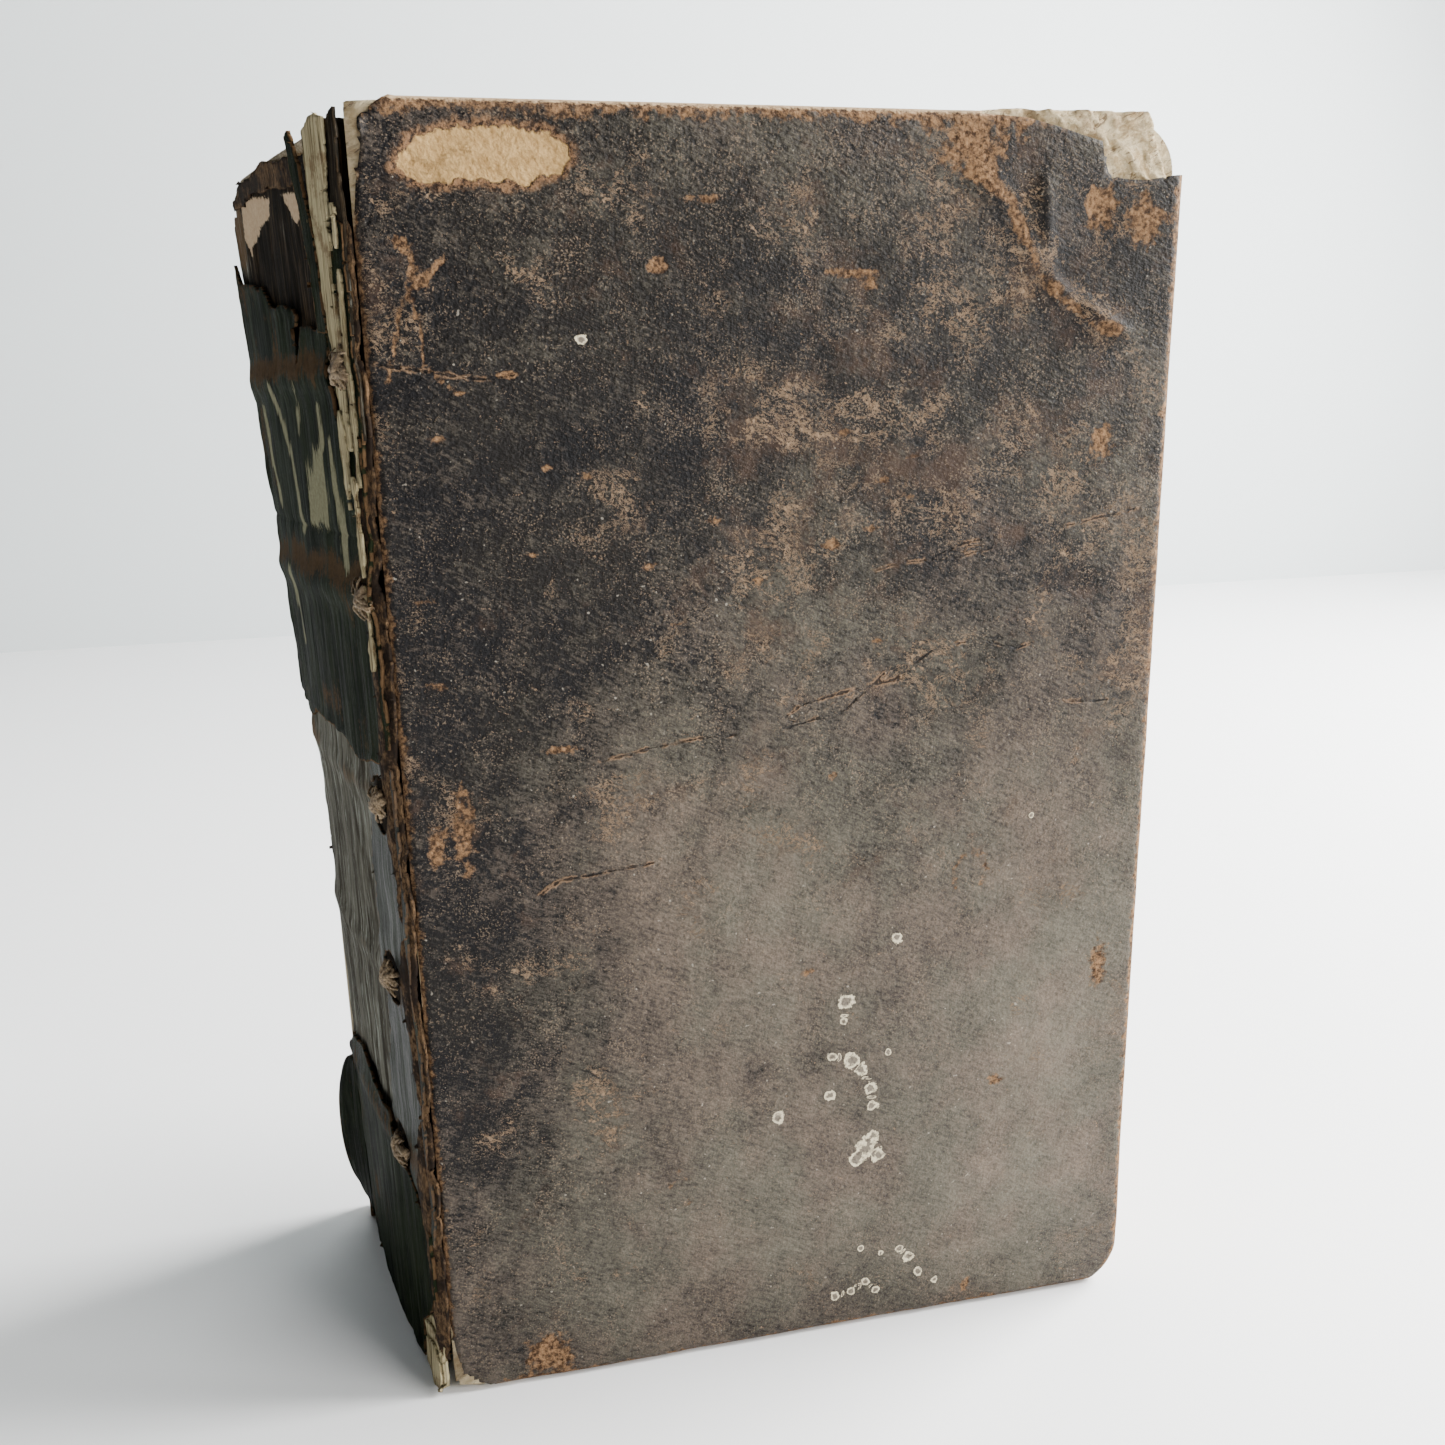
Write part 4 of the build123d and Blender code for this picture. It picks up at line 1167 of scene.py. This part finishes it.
def upper_fields(y, z, torn):
    """Worn brown bands and cream streaks of the upper spine leather."""
    at = flat_points(y, z)
    brown = blots(y, z, [(30, 166.8, 40, 2.2, 0.95), (24, 137.5, 40, 2.6, 0.85), (30, 186, 30, 5, 0.5)])
    brown += 0.35 * noise(at, 5, 3, 37) + blots(y, z, [(52, 165, 8, 26, 0.4), (30, 118, 9, 10, 0.3)])
    brown -= 0.5 * bell(z - 142.6, 1.0)
    cream = inside_outline(y, z, CREAM_STREAK)
    streaked = 1.5 - nearest_line(y, z, STREAKS)[2]
    ragged = 0.9 * noise(np.stack([y, 0 * y, z / 3], -1), 2.2, 3, 39)
    return {"brown": brown, "cream": np.maximum(cream * 0.6, streaked) - 0.3 + ragged,
            "edge": torn_rim(torn, 0.35)}


upper = spine_sheet("upper_spine_leather", UPPER_LEATHER, 1.25, LEATHER_THICKNESS, upper_relief, upper_fields,
                    spine_leather)
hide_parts("spine_leather_upper")

TAIL_LEATHER = (
    (1.2, 18.0), (1.2, 30.0), (9.8, 37.0), (16.8, 44.2), (24.9, 45.8), (34.7, 48.2), (46.4, 45.0),
    (49.9, 41.0), (49.9, 1.5), (9.0, 1.5), (8.5, 9.0),
)


def tail_relief(y, z, torn):
    """Relief of the tail leather: a raised band, fine creases and a curled torn edge."""
    curl = 0.35 * bell(torn - 0.2, 0.9) * (0.6 + noise(flat_points(y, z), 6, 2, 135))
    return 0.6 * bands(z) + 0.12 * spine_creases(y, z, 133) + curl


def tail_fields(y, z, torn):
    """Wear of the tail leather."""
    at = flat_points(y, z)
    brown = blots(y, z, [(30, 41, 40, 3, 0.5)]) + 0.4 * noise(at, 9, 3, 137)
    return {"brown": brown, "cream": np.full_like(y, -3.0), "edge": torn_rim(torn, 0.35)}


tail = spine_sheet("tail_spine_leather", TAIL_LEATHER, 1.25, LEATHER_THICKNESS, tail_relief, tail_fields,
                   spine_leather)
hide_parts("spine_leather_tail")


def loose_wing():
    """Leather at the tail that has come away from the back joint and stands out."""
    along = np.linspace(0, 1, 22)
    up = np.linspace(0, 1, 60)
    grid_up, grid_along = grid(up, along)
    ragged = noise(flat_points(grid_along * 6, 0 * grid_up), 2.5, 3, 171)
    foot = 4.0 + 1.0 * ragged + 2.2 * grid_along ** 4
    head = 37.5 + 1.2 * ragged - 3.0 * grid_along ** 4
    z = foot + (head - foot) * grid_up
    bulge = np.abs(np.sin(np.pi * grid_up)) ** 0.3
    y = FRONT_Y + 49.6 + 6.4 * grid_along
    push = 0.12 * spine_creases(grid_along * 6, z, 175)
    x = spine_x(FRONT_Y + 50.0, z, 1.2) - (0.3 + 4.6 * bulge) * grid_along ** 1.2
    outer = np.stack([x + np.minimum(push, 0.25) - 0.3, y, z], -1)
    inner = outer + np.array([0.5, 0.15, 0])
    points, faces = closed_sheet(outer, inner)
    rim = np.minimum(np.minimum(grid_up, 1 - grid_up) * 34, (1 - grid_along) * 6).reshape(-1)
    edge = np.exp(-rim / 0.4)
    fields = {"edge": np.concatenate([edge, edge]), "cream": np.full(len(points), -3.0),
              "brown": np.full(len(points), 0.1)}
    wing = new_piece("loose_leather_wing", points, faces[:, ::-1], spine_leather, "text_block", fields)


loose_wing()


def round_hole(y, z, across, tall):
    """Outline of a worn hole round a point on the spine."""
    turns = np.linspace(0, 2 * np.pi, 12, endpoint=False)
    return [(y + across * math.cos(turn), z + tall * math.sin(turn)) for turn in turns]


# Where the broken sewing cords show at the front joint: (mm behind the front face, height)
CORD_ENDS = ((10.6, 41.2), (7.2, 73.6), (5.2, 102.8), (3.4, 134.0), (4.0, 166.0))
CORD_HOLES = [round_hole(y + 1.8, z - 0.6, 3.6, 4.6) for y, z in CORD_ENDS[:3]]
LINING = ((5.4, 2.6), (5.4, 192.0), (30.0, 193.4), (52.0, 194.0), (56.4, 191.0), (57.2, 184.0), (57.2, 104.0),
          (52.6, 100.0), (52.6, 2.6))
HEAD_PAPER = ((49.5, 193.5), (40.0, 193.2), (30.4, 191.6), (33.0, 189.0), (37.0, 188.2), (43.0, 186.6),
              (47.4, 184.4), (49.6, 187.5))
HEAD_TUFT = ((25.6, 191.6), (18.0, 190.6), (16.4, 188.0), (19.5, 186.0), (22.8, 188.6))


def lining_relief(y, z, torn):
    """Relief of the bare spine: cords, fibres, and a hollow below the head."""
    at = np.stack([y, 0 * y, z / 9], -1)
    hollow = blots(y, z, [(17, 177, 7, 6, 1.1)])
    fibres = 0.22 * noise(at, 1.6, 3, 141) + 0.12 * noise(at, 5, 2, 143)
    return 0.5 * bands(z) + fibres - np.minimum(hollow, 0.4)


def lining_fields(y, z, torn):
    """Glue, grime, paper remains and painted shade on the bare spine."""
    at = flat_points(y, z)
    cream = np.maximum(inside_outline(y, z, HEAD_PAPER), inside_outline(y, z, HEAD_TUFT))
    # Darker towards the head and along the front joint; painted shade in the hollow below the head.
    dark = smoothstep(150, 165, z) * 1.1 + blots(y, z, [(17, 177, 10, 9, 0.8), (4, 100, 4, 60, 0.8)])
    # Painted shade in the holes round the cord ends.
    dark += blots(y, z, [(at_y, at_z, 5, 6, 1.2) for at_y, at_z in CORD_ENDS])
    # Darker towards the tail, with grime.
    dark += 0.7 * smoothstep(48, 30, z) + 0.25 * noise(at, 14, 3, 147)
    brown = bands(z) * 0.5 + 0.4 * noise(at, 12, 3, 145)
    brown += blots(y, z, [(53, 189, 3.5, 6, 1.4), (30, 194, 30, 2, 0.8)])
    dark -= blots(y, z, [(53, 189, 3.5, 6, 1.4), (26, 186, 4, 5, 0.7), (17, 181, 1.0, 4, 1.2)])
    return {"brown": brown, "cream": cream * 0.8, "dark": dark}


lining = spine_sheet("bare_spine", LINING, 0.3, 0.5, lining_relief, lining_fields, lining_surface)
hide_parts("spine_lining")

JOINT_LEATHER = (
    (0.8, 109.0), (8.6, 111.0), (10.5, 104.0), (11.5, 98.0), (12.0, 90.0), (12.8, 80.0), (13.5, 75.0),
    (11.0, 70.0), (12.5, 66.0), (13.5, 60.0), (14.5, 52.0), (15.8, 46.0), (14.0, 38.0), (8.0, 30.0),
    (0.8, 28.0),
)


def joint_relief(y, z, torn):
    """Relief of the strip of leather left along the front joint."""
    return 0.12 * spine_creases(y, z, 151) + 0.2 * noise(flat_points(y, z), 7, 2, 153)


def joint_fields(y, z, torn):
    """Wear of that strip, browner by the cords."""
    holes = sum(bell(z - level, 3.0) for level in CORD_HEIGHTS[:3])
    return {"brown": holes * 0.9, "cream": np.full_like(y, -3.0), "edge": torn_rim(torn, 0.3)}


joint = spine_sheet("joint_leather", JOINT_LEATHER, 1.0, 0.5, joint_relief, joint_fields, glossy_leather, 0.4,
                    CORD_HOLES)


# ---- Torn layers along the front joint ----
def scrap(name, outline, out, curl, cream, dark, material, step=0.35, swell=0.0):
    """Torn scrap on the spine, curled out towards its head end and swollen away from the front joint.
    Cream and dark are the amounts of those tones, the same all over it."""
    foot, head = min(p[1] for p in outline), max(p[1] for p in outline)

    def relief(y, z, torn):
        rise = np.clip((z - foot) / (head - foot), 0, 1)
        uneven = 0.10 * noise(flat_points(y * 3, z), 5, 3, 161)
        return uneven + curl * rise ** 2 + swell * smoothstep(0.3, 2.2, y)

    def find_fields(y, z, torn):
        return {"brown": 0.4 * noise(flat_points(y, z), 5, 3, 163), "cream": np.full_like(y, cream),
                "dark": np.full_like(y, dark), "edge": torn_rim(torn, 0.3)}

    piece = spine_sheet(name, outline, out, 0.5, relief, find_fields, material, step)
    return piece


STRIP = ((1.9, 197.6), (4.4, 198.4), (9.6, 197.0), (9.4, 188.0), (8.0, 176.0), (6.8, 166.0), (6.2, 158.0),
         (5.0, 158.0), (5.0, 172.0), (4.0, 184.0))
strip = scrap("torn_joint_strip", STRIP, 1.5, 0.5, 0, 0, split_board)
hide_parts("front_joint_strip")
RIDGE = (
    (0.3, 6.0), (0.3, 183.0), (1.4, 186.0), (2.2, 176.0), (2.4, 160.0), (2.8, 146.0), (3.8, 132.0),
    (3.2, 118.0), (4.8, 109.0), (3.2, 104.0), (3.6, 97.0), (2.2, 90.0), (1.6, 82.0), (3.6, 77.0),
    (3.8, 70.0), (2.0, 64.0), (1.5, 54.0), (3.0, 46.0), (5.4, 38.0), (3.6, 30.0), (2.2, 22.0), (2.6, 12.0),
    (4.4, 8.0),
)
scrap("suede_ridge", RIDGE, 0.30, 0.0, -3.0, 0, suede, 0.3, 1.15)
FIBRES = ((0.5, 198.6), (2.6, 198.2), (4.2, 184.0), (4.8, 170.0), (3.0, 158.0), (0.5, 156.0))
scrap("joint_fibres", FIBRES, 1.0, 0.1, -2.0, 0.62, lining_surface)
SCRAPS = ((0.5, 184.0), (3.0, 186.0), (6.4, 178.0), (9.4, 172.0), (8.4, 164.0), (5.5, 157.0), (0.5, 152.0))
scrap("joint_scraps", SCRAPS, 1.2, 0.1, -3.0, 0.0, spine_leather)
HEAD_FIBRES = ((8.5, 191.0), (9.0, 194.6), (20.0, 195.4), (34.0, 196.2), (48.0, 196.0), (53.5, 193.5),
               (50.0, 192.6), (40.0, 193.4), (28.0, 192.2), (18.0, 191.4))
scrap("head_fibres", HEAD_FIBRES, 0.75, 0.2, -3.0, 0, suede)
FLAKE = (
    (13.4, 197.0), (13.1, 192.0), (12.4, 187.0), (11.6, 181.0), (11.2, 171.0), (8.4, 171.0), (8.6, 180.0),
    (9.2, 187.0), (10.0, 192.5), (11.4, 197.4),
)
scrap("upright_flake", FLAKE, 1.7, 1.4, -3.0, 0.0, spine_leather, 0.25)
SLIVERS = (((1.2, 186), (2.0, 187), (2.5, 170), (2.0, 152), (1.4, 150)),
           ((3.0, 183), (3.6, 184), (4.6, 168), (4.4, 156), (3.6, 155)),
           ((4.8, 160), (5.6, 161), (6.0, 150), (5.2, 146), (4.6, 150)),
           ((1.4, 150), (2.2, 151), (2.8, 138), (2.2, 124), (1.5, 126)))
for count, outline in enumerate(SLIVERS, start=1):
    scrap(f"joint_sliver_{count}", outline, 1.5 + 0.12 * count, 0.3, -0.12, -1.0, split_board,
          0.25)
TAIL_LAYERS = (((0.6, 1.0), (0.6, 9.0), (3.5, 12.5), (9.2, 11.0), (8.6, 5.0), (5.0, 1.0)),
               ((0.5, 0.8), (0.5, 7.5), (3.0, 10.5), (8.0, 9.6), (7.4, 4.0), (4.4, 0.7)),
               ((0.4, 0.6), (0.4, 5.8), (2.4, 8.6), (6.6, 8.0), (6.2, 3.0), (3.6, 0.5)))
for count, outline in enumerate(TAIL_LAYERS, start=1):
    scrap(f"tail_corner_layer_{count}", outline, 0.5 + 0.55 * count, -0.2, 0, 0, split_board,
          0.3)


def joint_gap_shade():
    """Near-black fibrous sheet that fills the joint between the front board and the text block: painted shade
    of the gap.
    """
    up = np.arange(4.0, 199.0, 0.8)
    across = np.linspace(0, 1, 8)
    grid_z, grid_u = grid(up, across)
    at = flat_points(grid_u * 3, grid_z)
    ragged = 0.5 * noise(at, 3, 3, 181)
    x = HINGE_X - 3.0 + 3.1 * grid_u + 0.15 * ragged * grid_u
    y = FRONT_Y + 5.55 + 0.9 * (1 - grid_u) + 0.2 * ragged * (1 - grid_u)
    z = grid_z + ragged * (grid_z > 197)
    outer = np.stack([x, y - 0.2, z], -1)
    points, faces = closed_sheet(outer, outer + np.array([0, 0.3, 0]))
    # Dark 1.3 turns the sheet near-black: painted shade.
    fields = {"dark": np.full(len(points), 1.3), "cream": np.full(len(points), -3.0)}
    gap_shade_sheet = new_piece("joint_gap_shade", points, faces, lining_surface, "text_block", fields)


joint_gap_shade()


STUB_STRANDS = 8
FIBRE_STRANDS = 22


def frayed_cord(number, level, reach, dice):
    """End of a sewing cord at the front joint: a bent stub and a tangle of broken fibres."""
    ropes = []
    for strand in range(STUB_STRANDS + FIBRE_STRANDS):
        is_stub = strand < STUB_STRANDS
        turn = dice.uniform(0, 2 * np.pi)
        length = dice.uniform(3.4, 5.6) if is_stub else dice.uniform(1.4, 3.6)
        width = dice.uniform(0.45, 0.75) if is_stub else dice.uniform(0.10, 0.22)
        bend = dice.uniform(-1.6, 1.6)
        t = np.linspace(0, 1, 9)
        angle = turn + bend * t
        y = reach + np.cumsum(np.cos(angle)) * length / 9 - 0.6 * length * np.cos(turn) * is_stub
        z = level + np.cumsum(np.sin(angle)) * length / 9 - 0.6 * length * np.sin(turn) * is_stub
        lift = 1.5 + dice.uniform(0.2, 1.1) * np.sin(np.pi * t) + 0.25 * t
        y = np.clip(y, 0.6, 20)
        x = spine_x(FRONT_Y + y, z, lift)
        path = np.stack([x, FRONT_Y + y, z], -1) + dice.uniform(0, 1e-3, (9, 3))
        ropes.append(rope(path, width, 2, 1.2, 0.25))
    points, faces = joined(ropes)
    piece = new_piece(f"frayed_cord_{number}", points, faces, hemp, "text_block")


dice = np.random.default_rng(7)
for number, (reach, level) in enumerate(CORD_ENDS, start=1):
    frayed_cord(number, level, reach, dice)


# ---- Floor, light and camera ----
def plain_surface(name, colour, roughness):
    """Matt paint with the slight unevenness of a sheet of board."""
    s = Shader(name)
    soft = s.noise(60.0, 2.0)
    tone = s.mix(soft, colour, [c * 0.985 for c in colour])
    return s.finish(tone, roughness, soft, 0.01, specular=0.3)


def stage_plane(name, corners, material):
    """Flat sheet of the stage, given by its four corners in metres."""
    mesh = bpy.data.meshes.new(name)
    mesh.from_pydata(corners, [], [(0, 1, 2, 3)])
    plane = bpy.data.objects.new(name, mesh)
    bpy.context.scene.collection.objects.link(plane)
    mesh.materials.append(material)


floor_paint = plain_surface("floor_paint", (0.86, 0.87, 0.88), 0.6)
wall_paint = plain_surface("wall_paint", (0.62, 0.66, 0.67), 0.8)
stage_plane("floor", [(-3, -3, 0), (3, -3, 0), (3, 0.75, 0), (-3, 0.75, 0)], floor_paint)
stage_plane("backdrop", [(-3, 0.75, 0), (3, 0.75, 0), (3, 0.75, 2), (-3, 0.75, 2)], wall_paint)


def soft_light(name, place, aim, size, power, colour):
    """Square area lamp that faces a point."""
    lamp = bpy.data.lights.new(name, "AREA")
    lamp.size = size
    lamp.energy = power
    lamp.color = colour
    light = bpy.data.objects.new(name, lamp)
    light.location = place
    light.rotation_euler = (Vector(aim) - Vector(place)).to_track_quat("-Z", "Y").to_euler()
    bpy.context.scene.collection.objects.link(light)


soft_light("window", (0.80, 0.06, 0.62), (0, 0, 0.05), 0.6, 62.0, (1.0, 0.99, 0.97))
soft_light("room", (0.85, -0.75, 0.55), (0, 0, 0.1), 0.7, 21.0, (1.0, 0.985, 0.96))


def light_room(tree):
    """Pale light from behind the book and from its fore-edge side, and a dim room on the other two sides."""
    place = tree.nodes.new("ShaderNodeTexCoord")
    towards = tree.nodes.new("ShaderNodeVectorMath")
    towards.operation = "DOT_PRODUCT"
    towards.inputs[1].default_value = (0.62, 0.78, 0.0)
    tree.links.new(place.outputs["Generated"], towards.inputs[0])
    depth = tree.nodes.new("ShaderNodeMapRange")
    depth.inputs["From Min"].default_value = -0.35
    depth.inputs["From Max"].default_value = 0.45
    depth.inputs["To Min"].default_value = 0.06
    depth.inputs["To Max"].default_value = 0.55
    tree.links.new(towards.outputs["Value"], depth.inputs["Value"])
    seen = tree.nodes.new("ShaderNodeLightPath")
    shown = tree.nodes.new("ShaderNodeMath")
    shown.operation = "MULTIPLY_ADD"
    shown.inputs[1].default_value = 0.6
    tree.links.new(seen.outputs["Is Camera Ray"], shown.inputs[0])
    tree.links.new(depth.outputs[0], shown.inputs[2])
    background = tree.nodes["Background"]
    background.inputs["Color"].default_value = (0.86, 0.88, 0.87, 1)
    tree.links.new(shown.outputs[0], background.inputs["Strength"])


world = bpy.data.worlds.new("soft_room")
world.use_nodes = True
light_room(world.node_tree)
bpy.context.scene.world = world

# The camera stands in front of the cover, left of its middle and near its head, looks slightly down on it
# and is a little tilted.
CAMERA_PLACE = (-0.0415, -0.2123, 0.1604)
CAMERA_YAW = math.radians(12.21)
CAMERA_PITCH = math.radians(14.29)
CAMERA_ROLL = math.radians(1.31)
CAMERA_LENS = 31.49
ahead = math.cos(CAMERA_PITCH)
forward = Vector((math.sin(CAMERA_YAW) * ahead, math.cos(CAMERA_YAW) * ahead, -math.sin(CAMERA_PITCH)))
level_right = Vector((math.cos(CAMERA_YAW), -math.sin(CAMERA_YAW), 0))
level_down = forward.cross(level_right)
right = math.cos(CAMERA_ROLL) * level_right + math.sin(CAMERA_ROLL) * level_down
down = math.cos(CAMERA_ROLL) * level_down - math.sin(CAMERA_ROLL) * level_right
camera_data = bpy.data.cameras.new("camera")
camera_data.lens = CAMERA_LENS
camera_data.clip_start = 0.01
camera = bpy.data.objects.new("camera", camera_data)
bpy.context.scene.collection.objects.link(camera)
camera.matrix_world = Matrix((
    (right.x, -down.x, -forward.x, CAMERA_PLACE[0]),
    (right.y, -down.y, -forward.y, CAMERA_PLACE[1]),
    (right.z, -down.z, -forward.z, CAMERA_PLACE[2]),
    (0, 0, 0, 1),
))
bpy.context.scene.camera = camera
